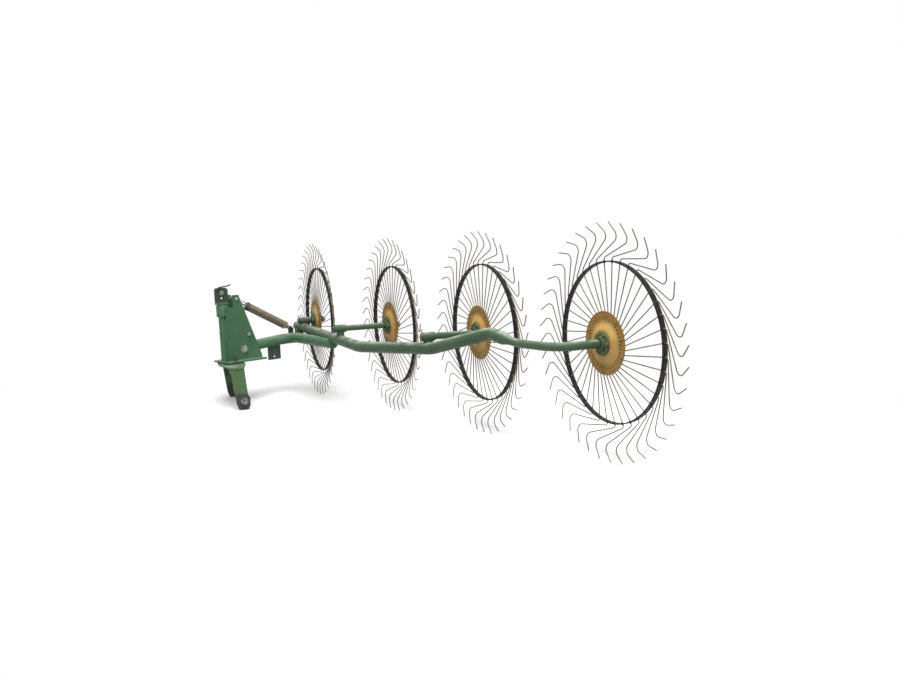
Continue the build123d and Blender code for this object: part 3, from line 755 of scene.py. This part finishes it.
@dataclass
class FingerWheel:
    """One finger wheel: clamp bolts, disc bolts and nuts, pressed beads, tine ferrules and a dust seal."""

    number: int
    centre: Vector
    axle: Vector
    book: FinishBook
    flange_face: float = -0.0584
    flange_bolts: int = 6
    flange_bolt_ring: float = 0.0525
    flange_bolt: HexSize = HexSize(0.0095, 0.007, 0.0115)
    disc_face: float = -0.0342
    disc_bolts: int = 10
    disc_bolt_ring: float = 0.156
    disc_bolt: HexSize = HexSize(0.0062, 0.005, 0.0080)
    disc_radius: float = 0.172
    back_face: float = -0.0217
    nut_ring: float = 0.138
    nut_turn: float = 9.0
    nut: HexSize = HexSize(0.0072, 0.006, 0.0098)
    back_bead: float = 0.106
    seal_radius: float = 0.0275
    seal_face: float = -0.0750
    tines: int = 40
    ferrule_radius: float = 0.0058
    ferrule_length: float = 0.013
    hoop_radius: float = 0.440
    tine_lean: float = 0.062
    tip_turn: float = 18.5
    hub_set: float = -0.028
    clamp_radius: float = 0.158
    bend_radius: float = 0.462
    hub_paint: Dress | None = None

    @property
    def body(self) -> str:
        """Name of the wheel's body."""
        return f"wheel_{self.number}"

    @property
    def side(self) -> Vector:
        """Level direction across the wheel."""
        return Vector((self.axle.y, -self.axle.x, 0.0))

    @property
    def place(self) -> Matrix:
        """Matrix of the wheel's own frame, with Z along the axle and Y down."""
        return axes_matrix(self.side, self.axle.cross(self.side), self.axle, self.centre)

    @property
    def first_turn(self) -> float:
        """Turn in degrees from which the tines are counted."""
        return 90.0 - self.spoke_turn(self.hoop_radius) - self.tip_turn + 180.0 / self.tines

    def polar(self, radius: float, turn: float, height: float) -> Vector:
        """Return a point of the wheel at a radius, a turn in degrees and a height along the axle."""
        angle = math.radians(turn)
        return self.place @ Vector((radius * math.cos(angle), radius * math.sin(angle), height))

    def spoke_turn(self, radius: float) -> float:
        """Return the turn in degrees at which a leaning spoke passes a radius."""
        return math.degrees(math.asin(self.tine_lean / radius))

    def build(self) -> None:
        """Model the wheel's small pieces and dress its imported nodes."""
        self.hub_paint = HubPaint(f"{self.body}_ochre_paint", self.centre, self.axle).build()
        self.add_bolts()
        bead = rolled_ring(self.back_bead, 0.0040, (80, 10), is_upper, (1.0, 1.0, 0.7))
        self.add_ring("back_bead", bead, self.back_face, self.hub_paint)
        self.add_ferrules()
        rim = rolled_ring(self.disc_radius, 0.0032, (96, 10), is_upper, (1.0, 1.0, 0.7))
        self.add_ring("disc_rim", rim, self.disc_face + 0.0012, self.hub_paint)
        seal = rolled_ring(self.seal_radius, 0.0028, (48, 10), lambda centre, normal: normal.z < -0.3,
                           (1.05, 1.05, 0.8))
        self.add_ring("dust_seal", seal, self.seal_face, self.book.dark)
        wire_dress = WheelWire(f"{self.body}_hoop_and_tines", self.centre, self.axle).build()
        dress_nodes(wire_dress, f"{self.body}_tines")
        dress_nodes(self.hub_paint, f"{self.body}_front_disc", f"{self.body}_back_disc")
        dress_nodes(self.book.boss, f"{self.body}_boss")

    def add_ring(self, name: str, ring: Piece, height: float, dress: Dress) -> None:
        """Put a ring around the axle at a height."""
        place = self.place @ Matrix.Translation((0.0, 0.0, height))
        fit(placed(ring, place), f"{self.body}_{name}", self.body, dress)

    def add_bolts(self) -> None:
        """Add the bolts on the boss flange, the smaller ones around the front disc and the nuts behind."""
        between = self.first_turn + self.spoke_turn(self.disc_bolt_ring) + 180.0 / self.tines
        front = -self.axle
        for name, size, count, start, radius, face, up, dress in (
                ("flange_bolts", self.flange_bolt, self.flange_bolts, 0.0, self.flange_bolt_ring, self.flange_face,
                 front, self.book.boss),
                ("disc_bolts", self.disc_bolt, self.disc_bolts, between, self.disc_bolt_ring, self.disc_face,
                 front, self.hub_paint),
                ("back_nuts", self.nut, self.disc_bolts, self.nut_turn, self.nut_ring, self.back_face,
                 self.axle, self.book.bolt)):
            turns = [start + 360.0 * step / count for step in range(count)]
            ring = copies(hex_head(size), [stand(self.polar(radius, turn, face), up) for turn in turns])
            fit(ring, f"{self.body}_{name}", self.body, dress)

    def add_ferrules(self) -> None:
        """Add the small sleeves that hold the tines in the hoop."""
        clear_selection()
        bpy.ops.mesh.primitive_cylinder_add(vertices=8, radius=self.ferrule_radius, depth=self.ferrule_length)
        ferrule = bpy.context.object
        choose_faces(ferrule, is_end)
        bpy.ops.mesh.inset(thickness=0.0012, depth=0.0015, use_individual=True)
        clear_selection()
        places = []
        share = (self.bend_radius - self.hoop_radius) / (self.bend_radius - self.clamp_radius)
        for index in range(self.tines):
            inner, hole, outer = (
                self.polar(radius, self.first_turn + 360.0 * index / self.tines + self.spoke_turn(radius), height)
                for radius, height in ((self.clamp_radius, self.hub_set), (self.hoop_radius, self.hub_set * share),
                                       (self.bend_radius, 0.0)))
            places.append(stand(hole, outer - inner))
        fit(copies(ferrule, places), f"{self.body}_tine_ferrules", self.body, self.book.dark)


@dataclass
class BalanceSpring:
    """Coil spring between the tower's spring bolt and the lug on the beam, with its plug and two hooks."""

    layout: Layout
    book: FinishBook
    bolt: Point = (0.0, 82.0, 868.0)
    lug: Point = (40.0, 612.0, 578.0)
    bolt_radius: float = 0.008
    coil_radius: float = 0.0290
    wire_radius: float = 0.0056
    wire_gap: float = 0.0012
    ring_wire: float = 0.0040
    shank: float = 0.148
    tail: float = 0.048
    pitch: float = 0.0150
    steps: int = 20

    @property
    def ends(self) -> tuple[Vector, Vector]:
        """The middle of the spring bolt and the lug's hole."""
        return self.layout.spot(*self.bolt), self.layout.spot(*self.lug)

    @property
    def span(self) -> float:
        """Length between the two ends."""
        top, low = self.ends
        return (low - top).length

    def build(self) -> None:
        """Model the spring on the line between tower and boom, and hide its plain solid."""
        spring = join([self.coil(), self.upper_hook(), self.lower_hook(), self.plug()])
        self.stretch(spring, "balance_spring_coil", self.book.spring)
        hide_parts("balance_spring")
        self.stretch(self.cap(), "balance_spring_cap", self.book.blackened)
        # the rings take the bright bolt steel: a painted highlight on the spring's end loops
        self.stretch(self.rings(), "balance_spring_rings", self.book.bolt)

    def stretch(self, piece: Piece, name: str, dress: Dress) -> None:
        """Put a piece on the spring's line and bake its place into its mesh.

        Args:
            piece: The object, modelled along Z from the spring bolt.
            name: Its name.
            dress: Its material and slot.
        """
        top, low = self.ends
        settle(placed(piece, stand(top, low - top, Vector((1.0, 0.0, 0.0)))), name, dress, SPRING_ANGLE)
        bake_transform(piece)
        LOG.info("%s blends from tower to boom with %d faces", name, len(piece.data.polygons))

    def cap(self) -> Piece:
        """Return the dark cup over the coil's first turn."""
        outer = self.coil_radius + self.wire_radius + self.wire_gap
        rings = ((0.012, -0.012), (outer - 0.006, -0.010), (outer, -0.004), (outer, 0.010), (outer - 0.003, 0.0105))
        return turned(tuple((radius, self.shank + height) for radius, height in rings))

    def rings(self) -> Piece:
        """Return the ring on the shank and the one over the lower hook, pale from the bright bolt steel that paints a
        highlight on them.
        """
        made = []
        for middle, radius in ((self.shank - 0.036, 0.0250), (self.span - self.tail + 0.011, 0.0190)):
            lean = self.ring_wire / radius
            made.append(wire([(side * lean, side, middle + along) for along, side in arc(radius, range(0, 361, 20))],
                             self.ring_wire))
        return join(made)

    def coil(self) -> Piece:
        """Return the close-wound coil along Z, from the shank to the tail."""
        length = self.span - self.shank - self.tail
        turns = round(length / self.pitch)
        clear_selection()
        bpy.ops.mesh.primitive_circle_add(vertices=8, radius=self.wire_radius,
                                          location=(self.coil_radius, 0.0, self.shank),
                                          rotation=(math.pi / 2, 0.0, 0.0))
        coil = bpy.context.object
        bpy.ops.object.transform_apply(location=True, rotation=True, scale=True)
        screw = coil.modifiers.new("winding", "SCREW")
        screw.axis = "Z"
        screw.angle = 2 * math.pi
        screw.screw_offset = length / turns
        screw.iterations = turns
        screw.steps = self.steps
        screw.render_steps = self.steps
        pick(coil)
        bpy.ops.object.modifier_apply(modifier=screw.name)
        bpy.ops.object.mode_set(mode="EDIT")
        close_mesh()
        return coil

    def upper_hook(self) -> Piece:
        """Return the shank with an open eye around the spring bolt."""
        eye = self.bolt_radius + self.wire_radius + self.wire_gap
        points = [(0.0, 0.0, along) for along in (self.shank + 0.004, self.shank - 0.05, eye + 0.03)]
        points += [(0.0, side, along) for along, side in arc(eye, range(60, 341, 20))]
        return wire(points, self.wire_radius)

    def lower_hook(self) -> Piece:
        """Return the hook that goes from the last turn through the lug's hole."""
        start = self.tail
        path = ((self.coil_radius, 0.0, -start), (0.018, 0.014, 0.005 - start), (0.0, 0.012, 0.010 - start),
                (-0.002, 0.0, 0.018 - start), (-0.010, 0.0, -0.030), (-0.017, 0.0, -0.012), (-0.014, 0.0, -0.001),
                (-0.004, 0.0, 0.0015), (0.006, 0.0, 0.0015), (0.015, 0.0, -0.002), (0.016, 0.0, -0.012),
                (0.012, 0.0, -0.021))
        return wire([(x, y, self.span + z) for x, y, z in path], self.wire_radius)

    def plug(self) -> Piece:
        """Return the tapered plug screwed into the coil's upper end."""
        clear_selection()
        bpy.ops.mesh.primitive_cone_add(vertices=24, radius1=0.011, radius2=0.0205, depth=0.022,
                                        location=(0.0, 0.0, self.shank - 0.006))
        plug = bpy.context.object
        bpy.ops.object.transform_apply(location=True)
        choose_faces(plug, is_end)
        bpy.ops.mesh.inset(thickness=0.003, depth=0.002, use_individual=True)
        clear_selection()
        return plug


@dataclass
class Tower:
    """Tower: bolt ends, pivot washers, foot welds, front strip, lock-pin handle and grease nipple."""

    layout: Layout
    book: FinishBook
    outside: float = 64.2
    foot: float = 360.4
    foot_fronts: tuple[float, float] = (-20.0, 42.0)
    foot_rear: float = 293.0
    weld: float = 0.0055
    nipple: Point = (0.0, -46.4, 600.0)
    strip_size: Point = (0.030, 0.006, 0.340)
    strip: Point = (42.5, -24.6, 531.4)
    bolts: tuple[tuple[str, float, float, float], ...] = (
        ("pivot_bolt", 126.0, 447.0, 15.0), ("stop_bolt", 178.0, 567.0, 10.0), ("spring_bolt", 82.0, 868.0, 8.0))
    washer: Profile = ((0.0235, -0.0004), (0.0300, -0.0004), (0.0306, 0.0012), (0.0300, 0.0030), (0.0235, 0.0034))
    lock: Point = (96.0, 20.0, 410.3)
    lock_path: tuple[Point, ...] = ((0, 0, -10), (0, 0, 4), (1, 6, 10), (3, 18, 18), (5, 32, 25), (6, 44, 30))
    lock_wire: float = 0.0042

    def build(self) -> None:
        """Model the tower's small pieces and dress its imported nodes."""
        self.add_bolt_caps()
        self.add_pivot_washers()
        self.add_foot_welds()
        self.add_front_strip()
        path = [self.layout.spot(*(at + by for at, by in zip(self.lock, step))) for step in self.lock_path]
        fit(wire(path, self.lock_wire, 3), "lock_pin_handle", Body.TOWER.value, self.book.blackened)
        self.add_grease_nipple()
        dress_nodes(self.book.green, "tower_base", "tower_plate_left", "tower_plate_right", "kingpin_housing")
        dress_nodes(self.book.bolt, *(name for name, *_ in self.bolts))
        dress_nodes(self.book.blackened, "lock_pin")

    def on_side(self, side: Side, out: float, y: float, z: float) -> Matrix:
        """Return the matrix of a piece that stands out from one of the side plates."""
        return stand(self.layout.spot(side.value * (self.outside + out), y, z), Vector((side.value, 0.0, 0.0)))

    def add_bolt_caps(self) -> None:
        """Add a raised crown on each bolt head and a threaded end on each nut."""
        shares = {Side.LEFT: (0.16, 1.25), Side.RIGHT: (0.9, 0.9)}
        parts = []
        for _, y, z, radius in self.bolts:
            for side in Side:
                reach, width = (radius * MM * share for share in shares[side])
                cap = stud(24, width, reach, [(width * 0.2, reach * 0.35)])
                parts.append(placed(cap, self.on_side(side, radius, y, z)))
        fit(join(parts), "tower_bolt_ends", Body.TOWER.value, self.book.bolt)

    def add_pivot_washers(self) -> None:
        """Add the wide washers under the head and the nut of the pivot bolt."""
        _, y, z, _ = self.bolts[0]
        washers = [placed(turned(self.washer), self.on_side(side, 0.0, y, z)) for side in Side]
        fit(join(washers), "pivot_washers", Body.TOWER.value, self.book.bolt)

    def add_foot_welds(self) -> None:
        """Add the weld beads between the side plates and the base plate."""
        lines = [[self.layout.spot(side.value * (self.outside + 1.0), y, self.foot) for y in (front, self.foot_rear)]
                 for side, front in zip(Side, self.foot_fronts)]
        fit(weld_bead(lines, self.weld), "tower_foot_welds", Body.TOWER.value, self.book.green, WELD_ANGLE)

    def add_front_strip(self) -> None:
        """Add the strip that closes the corner between the kingpin housing and the left side plate."""
        clear_selection()
        bpy.ops.mesh.primitive_cube_add(size=1.0)
        strip = bpy.context.object
        strip.scale = self.strip_size
        bpy.ops.object.transform_apply(scale=True)
        choose_faces(strip, lambda centre, normal: True)
        bpy.ops.mesh.bevel(offset=0.0012, segments=2)
        clear_selection()
        place = Matrix.Translation(self.layout.spot(*self.strip))
        fit(placed(strip, place), "tower_front_strip", Body.TOWER.value, self.book.green)

    def add_grease_nipple(self) -> None:
        """Add the grease nipple on the front of the kingpin housing."""
        clear_selection()
        bpy.ops.mesh.primitive_cylinder_add(vertices=6, radius=0.006, depth=0.006, location=(0, 0, 0.003))
        nipple = bpy.context.object
        bpy.ops.object.transform_apply(location=True)
        choose_faces(nipple, is_top)
        bpy.ops.mesh.inset(thickness=0.002, depth=0.0)
        bpy.ops.mesh.extrude_region_move(TRANSFORM_OT_translate={"value": (0.0, 0.0, 0.008)})
        bpy.ops.mesh.inset(thickness=0.001, depth=0.002)
        clear_selection()
        place = stand(self.layout.spot(*self.nipple), Vector((0.0, -1.0, 0.0)))
        fit(placed(nipple, place), "housing_grease_nipple", Body.TOWER.value, self.book.bolt)


@dataclass
class Boom:
    """Boom: split pins, sleeve and beam welds, axle ends, tube cap, reducer and beam cap."""

    layout: Layout
    book: FinishBook
    wheels: Sequence[FingerWheel]
    arms: tuple[float, ...] = (0.190, 0.473, 0.438)
    arm_radius: float = 0.021
    sleeve_length: float = 0.080
    sleeve_set: float = 0.012
    sleeve_weld: float = 0.0050
    web_half: float = 0.0190
    web_reach: float = 0.0240
    beam_weld: float = 0.0045
    # X of both lines, Y from and to, Z and way of the rays
    lug_lines: tuple = ((33.5, 46.5), (596.0, 640.0), 590.0, -1.0)
    bracket_lines: tuple = ((-8.5, 8.5), (402.0, 518.0), 380.0, 1.0)
    pin_wire: float = 0.0024
    pin_path: Profile = ((-0.004, 0.010), (-0.008, 0.018), (-0.001, 0.026), (0.008, 0.020), (0.006, 0.012),
                         (0.002, 0.002))
    end_wire: float = 0.0018
    end_height: float = 0.045
    end_path: Profile = ((0.0, -0.020), (0.0, 0.014), (0.004, 0.020), (0.0, 0.027), (-0.004, 0.020), (0.0, 0.014))
    tube_start: Point = (30.0, 698.0, 590.0)
    tube_out: Point = (-1530.0, 608.0, 37.0)
    tube_radius: float = 0.038
    tube_end: Point = (2800.0, 98.0, 672.0)
    end_run: Point = (110.0, -27.0, -18.0)
    end_rings: Profile = ((0.0386, -0.012), (0.0388, 0.004), (0.0370, 0.016), (0.0325, 0.034), (0.0282, 0.052),
                          (0.0256, 0.068), (0.0246, 0.082))
    beam_end: Point = (1010.0, 300.0, 528.0)
    beam_run: Point = (1010.0, -350.0, 35.2)
    beam_rings: Profile = ((0.0390, -0.0040), (0.0425, -0.0010), (0.0434, 0.0012), (0.0415, 0.0034),
                           (0.0300, 0.0048), (0.0120, 0.0054))

    def build(self) -> None:
        """Model the boom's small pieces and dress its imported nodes."""
        self.add_split_pins()
        self.add_sleeve_welds()
        self.add_beam_welds()
        self.add_axle_ends()
        self.add_tube_pieces()
        dress_nodes(self.book.green, "main_beam")
        dress_nodes(self.book.boom, "boom_tube", "boom_saddle", "axle_sleeve_1", "axle_sleeve_2", "axle_sleeve_3",
                    "axle_arm_1", "axle_arm_2", "axle_arm_3", "axle_arm_4")
        dress_nodes(self.book.dark, "spring_lug", "park_bracket")

    def add_split_pins(self) -> None:
        """Add the split pins through the front ends of the axle arms."""
        reach = self.arm_radius + 0.004
        path = [(0.0, -reach - 0.010), (0.0, reach)] + [(across, reach + up) for across, up in self.pin_path]
        parts = []
        for wheel, arm in zip(self.wheels, self.arms):
            middle = wheel.place @ Vector((0.0, 0.0, -arm + self.sleeve_set / 2))
            parts.append(wire([middle + wheel.side * across + UP * up for across, up in path], self.pin_wire))
        fit(join(parts), "axle_split_pins", Body.BOOM.value, self.book.steel)

    def add_sleeve_welds(self) -> None:
        """Add the weld beads where the sleeves' webs stand on the boom tube."""
        corners = [(-1, -1), (1, -1), (1, 1), (-1, 1), (-1, -1)]
        lines = []
        for wheel, arm in zip(self.wheels, self.arms):
            middle = -arm + self.sleeve_set + self.sleeve_length / 2
            for (ax, az), (bx, bz) in zip(corners, corners[1:]):
                starts = [wheel.place @ Vector(((ax + (bx - ax) * share) * self.web_half, 0.0,
                                                middle + (az + (bz - az) * share) * self.web_reach))
                          for share in WELD_SHARES]
                lines.append(cast_line("boom_tube", starts, -UP))
        fit(weld_bead(lines, self.sleeve_weld), "sleeve_welds", Body.BOOM.value, self.book.boom, WELD_ANGLE)

    def add_beam_welds(self) -> None:
        """Add the weld beads of the spring lug on the beam's top and of the park bracket under it."""
        lines = []
        for sides, (start, end), z, way in (self.lug_lines, self.bracket_lines):
            for x in sides:
                starts = [self.layout.spot(x, start + (end - start) * share, z) for share in WELD_SHARES]
                lines.append(cast_line("main_beam", starts, UP * way))
        fit(weld_bead(lines, self.beam_weld), "beam_welds", Body.BOOM.value, self.book.green, WELD_ANGLE)

    def add_axle_ends(self) -> None:
        """Add the threaded end and the split pin behind each wheel."""
        parts = []
        for wheel in self.wheels:
            end = stud(24, 0.0125, 0.014, [(0.002, 0.002)], 0.036)
            path = [wheel.place @ Vector((x, y, self.end_height)) for x, y in self.end_path]
            parts += [placed(end, wheel.place), wire(path, self.end_wire)]
        fit(join(parts), "axle_threaded_ends", Body.BOOM.value, self.book.bolt)

    def add_tube_pieces(self) -> None:
        """Add the boom tube's inner cap, the swaged cone at its outer end and the domed cap of the main beam."""
        cap = stud(48, self.tube_radius - 0.002, 0.005, [(0.006, 0.0015), (0.012, 0.001)], -0.001)
        for name, piece, start, run, dress, smooth in (
                ("boom_tube_cap", cap, self.tube_start, self.tube_out, self.book.boom, EDGE_ANGLE),
                ("boom_tube_reducer", turned(self.end_rings, 48), self.tube_end, self.end_run, self.book.boom,
                 WELD_ANGLE),
                ("main_beam_cap", turned(self.beam_rings, 48), self.beam_end, self.beam_run, self.book.green,
                 EDGE_ANGLE)):
            place = stand(self.layout.spot(*start), Vector(run))
            fit(placed(piece, place), name, Body.BOOM.value, dress, smooth)


@dataclass
class Hitch:
    """Hitch: bracket welds, linch pins, top link handle, top bolt crowns, collar sleeve and dark bands of painted
    shade.
    """

    layout: Layout
    book: FinishBook
    bracket_half: float = 329.3
    bracket_ends: tuple[float, float] = (-4.0, 98.0)
    plate_under: float = 330.0
    web_backs: tuple[float, float] = (45.0, 55.0)
    web_half: float = 315.3
    weld: float = 0.0055
    pin: Point = (385.0, 86.0, 72.0)
    pin_stem: tuple[float, ...] = (-24.0, -12.0, 0.0, 12.0, 24.0)
    stem_wire: float = 0.0036
    ring_radius: float = 21.0
    ring_lean: float = 6.0 / 21.0
    ring_wire: float = 0.0022
    handle: tuple[Point, ...] = (
        (41.0, -34.0, 940.0), (47.0, -34.0, 950.0), (45.0, -24.0, 967.0), (42.0, 0.0, 971.0), (40.0, 30.0, 974.0),
        (38.0, 56.0, 981.0), (37.0, 72.0, 987.0))
    handle_wire: float = 0.0058
    top_bolt: Point = (54.2, -3.0, 922.0)
    sleeve: Profile = ((0.0380, 0.7270), (0.0480, 0.7270), (0.0500, 0.7292), (0.0500, 0.8150), (0.0485, 0.8175),
                       (0.0400, 0.8195))
    band_thick: float = 0.0034

    def build(self) -> None:
        """Model the hitch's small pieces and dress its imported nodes."""
        self.add_bracket_welds()
        self.add_linch_pins()
        path = [self.layout.hitch_spot(*point) for point in self.handle]
        fit(wire(path, self.handle_wire, 3), "top_link_handle", Body.HITCH.value, self.book.blackened)
        self.add_top_bolt_crowns()
        self.add_collar_pieces()
        dress_nodes(self.book.bracket, "lower_bracket")
        dress_nodes(self.book.green, "top_link_clevis")
        dress_nodes(self.book.dark, "top_link_ear_left", "top_link_ear_right")
        dress_nodes(self.book.steel, "link_pin_left", "link_pin_right", "kingpin", "thrust_washer")
        dress_nodes(self.book.drab, "top_link_bolt")

    def add_bracket_welds(self) -> None:
        """Add the weld beads under the hitch plate."""
        runs = [[(side.value * self.bracket_half, back) for back in self.bracket_ends] for side in Side]
        runs += [[(-self.web_half, back), (self.web_half, back)] for back in self.web_backs]
        lines = [[self.layout.hitch_spot(across, back, self.plate_under) for across, back in run] for run in runs]
        fit(weld_bead(lines, self.weld), "bracket_welds", Body.HITCH.value, self.book.bracket, WELD_ANGLE)

    def add_linch_pins(self) -> None:
        """Add a linch pin with its spring ring through the end of each lower link pin."""
        out, back, z = self.pin
        parts = []
        for side in Side:
            stem = [(side.value * out, back, z + up) for up in self.pin_stem]
            ring = [(side.value * (out + 5.0 + along * self.ring_lean), back + along, z + 2.0 + up)
                    for along, up in arc(self.ring_radius, range(-84, 265, 12))]
            for path, radius in ((stem, self.stem_wire), (ring, self.ring_wire)):
                parts.append(wire([self.layout.hitch_spot(*point) for point in path], radius))
        fit(join(parts), "linch_pins", Body.HITCH.value, self.book.steel)

    def add_top_bolt_crowns(self) -> None:
        """Add the crowns on the heads of the top link bolt."""
        out, back, z = self.top_bolt
        crowns = []
        for side in Side:
            place = stand(self.layout.hitch_spot(side.value * out, back, z), self.layout.across * side.value)
            crowns.append(placed(stud(24, 0.0150, 0.002, [(0.004, 0.001)]), place))
        fit(join(crowns), "top_bolt_crowns", Body.HITCH.value, self.book.drab)

    def add_collar_pieces(self) -> None:
        """Add the sleeve around the kingpin's collar and dark bands on both sides of the gap under it, painted shade
        that darkens the gap.
        """
        sleeve = placed(turned(self.sleeve, 64), Matrix.Translation(self.layout.on_kingpin(0.0)))
        fit(sleeve, "kingpin_collar_sleeve", Body.HITCH.value, self.book.green)
        # dark rings in blackened steel on both sides of the gap between collar and housing: painted shade in the gap
        for name, body, radius, z in (("collar_shade_band", Body.HITCH, 0.0360, 722.6),
                                      ("housing_shade_band", Body.TOWER, 0.0336, 708.4)):
            band = rolled_ring(radius, self.band_thick, (64, 12), is_outer, (1.0, 1.0, 1.2))
            place = Matrix.Translation(self.layout.on_kingpin(z))
            fit(placed(band, place), name, body.value, self.book.blackened)


@dataclass(frozen=True)
class Studio:
    """Pale floor, soft lamps, white surroundings and a camera at the photograph's viewing angle."""

    layout: Layout
    floor_radius: float = 40.0
    floor_pale: Colour = (0.93, 0.93, 0.93, 1.0)
    floor_paler: Colour = (0.95, 0.95, 0.95, 1.0)
    floor_bounce: Colour = (0.36, 0.36, 0.36, 1.0)
    floor_squeeze: Point = (0.55, 1.0, 1.0)
    floor_fade: tuple[float, float] = (1.1, 2.9)
    soft_light: float = 0.55
    eye: Point = (5330.0, -3160.0, 1136.0)
    heading: tuple[float, float] = (-0.669, 0.743)
    dip: float = 6.26
    roll: float = 2.06
    focal_pixels: float = 721.6
    image_width: float = 900.0
    sensor: float = 36.0

    def build(self) -> None:
        """Make the floor, the world, the lamps and the camera."""
        self.add_floor()
        self.add_world()
        self.add_lamps()
        self.add_camera()
        bpy.context.scene.view_settings.view_transform = "Standard"

    def add_floor(self) -> None:
        """Add a pale floor that fades into the white surroundings."""
        clear_selection()
        bpy.ops.mesh.primitive_circle_add(vertices=96, radius=self.floor_radius, fill_type="NGON")
        floor = bpy.context.object
        floor.name = "studio_floor"
        graph = Graph("pale_floor")
        graph.feed(graph.shader, {"Roughness": 0.9,
                                  "Base Color": graph.mix(graph.noise(0.8), self.floor_pale, self.floor_paler)})
        squeezed = graph.vector("MULTIPLY", graph.place, self.floor_squeeze).outputs[0]
        away = graph.vector("LENGTH", squeezed).outputs["Value"]
        glow = graph.add("Emission", {"Color": WHITE, "Strength": 1.0}).outputs[0]
        blend = graph.add("MixShader", {0: graph.span(away, *self.floor_fade), 1: graph.shader.outputs[0], 2: glow})
        bounce = graph.add("BsdfDiffuse", {"Color": self.floor_bounce}).outputs[0]
        final = graph.add("MixShader", {0: graph.seen(), 1: bounce, 2: blend.outputs[0]})
        graph.feed(graph.tree.nodes["Material Output"], {"Surface": final.outputs[0]})
        floor.data.materials.append(graph.material)

    def add_world(self) -> None:
        """Add white surroundings that light the machine softly."""
        world = bpy.data.worlds.new("white_studio")
        bpy.context.scene.world = world
        world.use_nodes = True
        nodes = Nodes(world.node_tree)
        soft = nodes.tree.nodes["Background"]
        nodes.feed(soft, {"Color": WHITE, "Strength": self.soft_light})
        white = nodes.add("Background", {"Color": WHITE, "Strength": 1.0})
        choice = nodes.add("MixShader", {0: nodes.seen(), 1: soft.outputs[0], 2: white.outputs[0]})
        nodes.feed(nodes.tree.nodes["World Output"], {"Surface": choice.outputs[0]})

    def add_lamps(self) -> None:
        """Add a large lamp from above in front and a weaker one from the side."""
        for name, place, aim, size, power in (
                ("key_lamp", (1.6, -2.2, 6.8), (0.0, 0.2, 0.5), 5.0, 640.0),
                ("fill_lamp", (5.5, -2.0, 3.5), (0.5, 0.0, 0.6), 3.5, 80.0)):
            lamp = bpy.data.lights.new(name, "AREA")
            lamp.size = size
            lamp.energy = power
            holder = bpy.data.objects.new(name, lamp)
            bpy.context.scene.collection.objects.link(holder)
            holder.location = place
            holder.rotation_euler = (Vector(aim) - Vector(place)).to_track_quat("-Z", "Y").to_euler()

    def add_camera(self) -> None:
        """Add the camera where the photograph was taken from."""
        camera = bpy.data.cameras.new("photo_camera")
        camera.sensor_fit = "HORIZONTAL"
        camera.sensor_width = self.sensor
        camera.lens = self.focal_pixels / self.image_width * self.sensor
        holder = bpy.data.objects.new("photo_camera", camera)
        bpy.context.scene.collection.objects.link(holder)
        level = Vector((*self.heading, 0.0)).normalized()
        dip = math.radians(self.dip)
        roll = math.radians(self.roll)
        ahead = level * math.cos(dip) - UP * math.sin(dip)
        right = Vector((level.y, -level.x, 0.0))
        above = right.cross(ahead)
        x_axis = right * math.cos(roll) - above * math.sin(roll)
        y_axis = right * math.sin(roll) + above * math.cos(roll)
        holder.matrix_world = axes_matrix(x_axis, y_axis, -ahead, self.layout.spot(*self.eye))
        bpy.context.scene.camera = holder


def wheels_of(book: FinishBook) -> list[FingerWheel]:
    """Return the wheels at the places that the record's joints give.

    Args:
        book: The finishes.

    Returns:
        The wheels in order from the tower outwards.
    """
    wheels = []
    for joint in frame["joints"]:
        if joint["name"].startswith("wheel_"):
            number = int(joint["name"].split("_")[1])
            wheels.append(FingerWheel(number, Vector(joint["pos_m"]), Vector(joint["axis"]), book))
    return wheels


def main() -> None:
    """Build the sub-assemblies in order, light them and note the sizes."""
    logging.basicConfig(level=logging.INFO, format="%(message)s")
    layout = Layout()
    book = FinishBook()
    wheels = wheels_of(book)
    Studio(layout).build()
    Hitch(layout, book).build()
    Tower(layout, book).build()
    BalanceSpring(layout, book).build()
    Boom(layout, book, wheels).build()
    for wheel in wheels:
        wheel.build()


if __name__ == "__main__":
    main()
